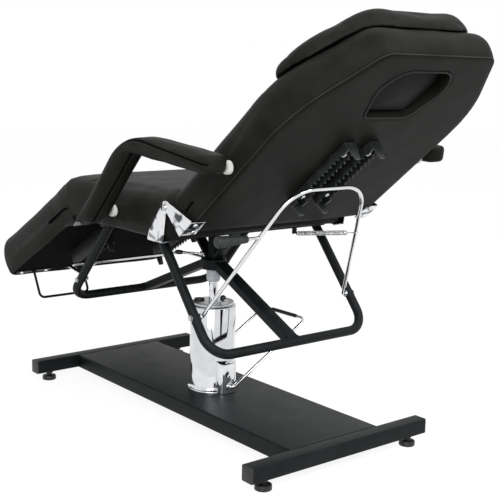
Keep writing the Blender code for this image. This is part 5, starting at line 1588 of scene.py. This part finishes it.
def makeStrapEnds(s, side, sign):
    inner, outer = sorted((-sign * (s["tabY"] - 0.0015), -sign * (s["tabY"] + 0.0015)))
    tab = slab(arcs(s["tab"], 0.002, 4, True), inner, outer, 0.0004, 2, basis=upright)
    piece(f"strapTab_{side}", [tab], strapSteel, f"post_{side}")
    x, y, z = s["eyelet"]
    rim = [(0, -0.002), (0.0068, -0.002), (0.0068, 0.0006), (0.0060, 0.0012), (0.0048, 0.0010),
           (0.0040, 0.0002), (0, 0.0)]
    piece(f"strapPlug_{side}", [lathe(rim, (x, sign * y, z), (0.717, 0, -0.697), 28)], gripRubber,
          f"post_{side}")


for side, sign in sides.items():
    makeStrapEnds(strap, side, sign)

# Arm spacers: moulded discs between the sleeves and the sections, each on a bolt
spacers = {"radius": 0.016, "seat": (-0.030, 0.596), "back": (0.460, 0.748), "outer": 0.3247}


def makeSpacer(kind, side, sign):
    x, z = spacers[kind]
    low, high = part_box(f"arm_spacer_{kind}_{side}")
    inner = min(abs(low[1]), abs(high[1]))
    thick = spacers["outer"] - inner
    radius = spacers["radius"]
    disc = [(0, 0), (radius - 0.001, 0), (radius, 0.001), (radius, thick * 0.5),
            (radius - 0.0012, thick * 0.62), (radius - 0.0045, thick * 0.72),
            (radius - 0.0085, thick * 0.76), (radius - 0.0085, thick), (0, thick)]
    body = {"seat": "seat", "back": "backrest"}[kind]
    piece(f"armSpacer_{kind}_{side}", [lathe(disc, (x, sign * inner, z), (0, sign, 0), 40)], creamNylon,
          body, [f"arm_spacer_{kind}_{side}"])
    collar = [(0.0045, thick * 0.70), (0.0092, thick * 0.70), (0.0092, thick * 0.80), (0.0045, thick * 0.82)]
    piece(f"armSpacerRing_{kind}_{side}", [lathe(collar, (x, sign * inner, z), (0, sign, 0), 28)], zinc,
          body)


for side, sign in sides.items():
    for kind in ("seat", "back"):
        makeSpacer(kind, side, sign)
print("spacers built")


# Studio: a pale floor, a white surround and three soft lamps
def seenRays(tree):  # 1 for rays from the camera, mirrored or let through, otherwise 0
    ray = addNode(tree, "ShaderNodeLightPath")
    seen = ray.outputs["Is Camera Ray"]
    for kind in ("Is Glossy Ray", "Is Transmission Ray"):
        both = addNode(tree, "ShaderNodeMath", links={0: seen, 1: ray.outputs[kind]}, operation="MAXIMUM")
        seen = both.outputs[0]
    return seen


def makeStudio():
    scene = bpy.context.scene
    scene.view_settings.view_transform = "Standard"
    mesh = bpy.data.meshes.new("floor")
    reach = 14.0
    mesh.from_pydata([(-reach, -reach, 0), (reach, -reach, 0), (reach, reach, 0), (-reach, reach, 0)], [],
                     [(0, 1, 2, 3)])
    floor = bpy.data.objects.new("floor", mesh)
    scene.collection.objects.link(floor)
    paper = bpy.data.materials.new("paperFloor")
    paper.use_nodes = True
    tree = paper.node_tree
    shader = tree.nodes["Principled BSDF"]
    shader.inputs["Base Color"].default_value = linear("#aeaeac")
    shader.inputs["Roughness"].default_value = 0.9
    shader.inputs["Specular IOR Level"].default_value = 0.1
    glow = addNode(tree, "ShaderNodeEmission", {"Color": (1, 1, 1, 1), "Strength": 1.40})
    share = addNode(tree, "ShaderNodeMath", {1: 0.64}, {0: seenRays(tree)}, operation="MULTIPLY")
    mix = addNode(tree, "ShaderNodeMixShader", links={0: share.outputs[0], 1: shader.outputs[0],
                                                      2: glow.outputs[0]})
    tree.links.new(mix.outputs[0], tree.nodes["Material Output"].inputs["Surface"])
    mesh.materials.append(paper)
    world = bpy.data.worlds.new("studio")
    scene.world = world
    world.use_nodes = True
    tree = world.node_tree
    white = tree.nodes["Background"]
    white.inputs["Color"].default_value = (1, 1, 1, 1)
    level = addNode(tree, "ShaderNodeMapRange", {"To Min": 0.55, "To Max": 1.0}, {"Value": seenRays(tree)})
    tree.links.new(level.outputs["Result"], white.inputs["Strength"])
    lamps = {
        "keyLamp": ((2.7, -2.9, 2.4), 2.2, 128),
        "fillLamp": ((3.0, 0.7, 3.1), 2.0, 84),
        "topLamp": ((0.2, 0.6, 4.0), 3.0, 30),
    }
    for name, (place, size, power) in lamps.items():
        data = bpy.data.lights.new(name, "AREA")
        data.size = size
        data.energy = power
        lamp = bpy.data.objects.new(name, data)
        scene.collection.objects.link(lamp)
        lamp.location = place
        lamp.rotation_euler = (Vector((0, 0, 0.55)) - Vector(place)).to_track_quat("-Z", "Y").to_euler()


makeStudio()
print("studio set")
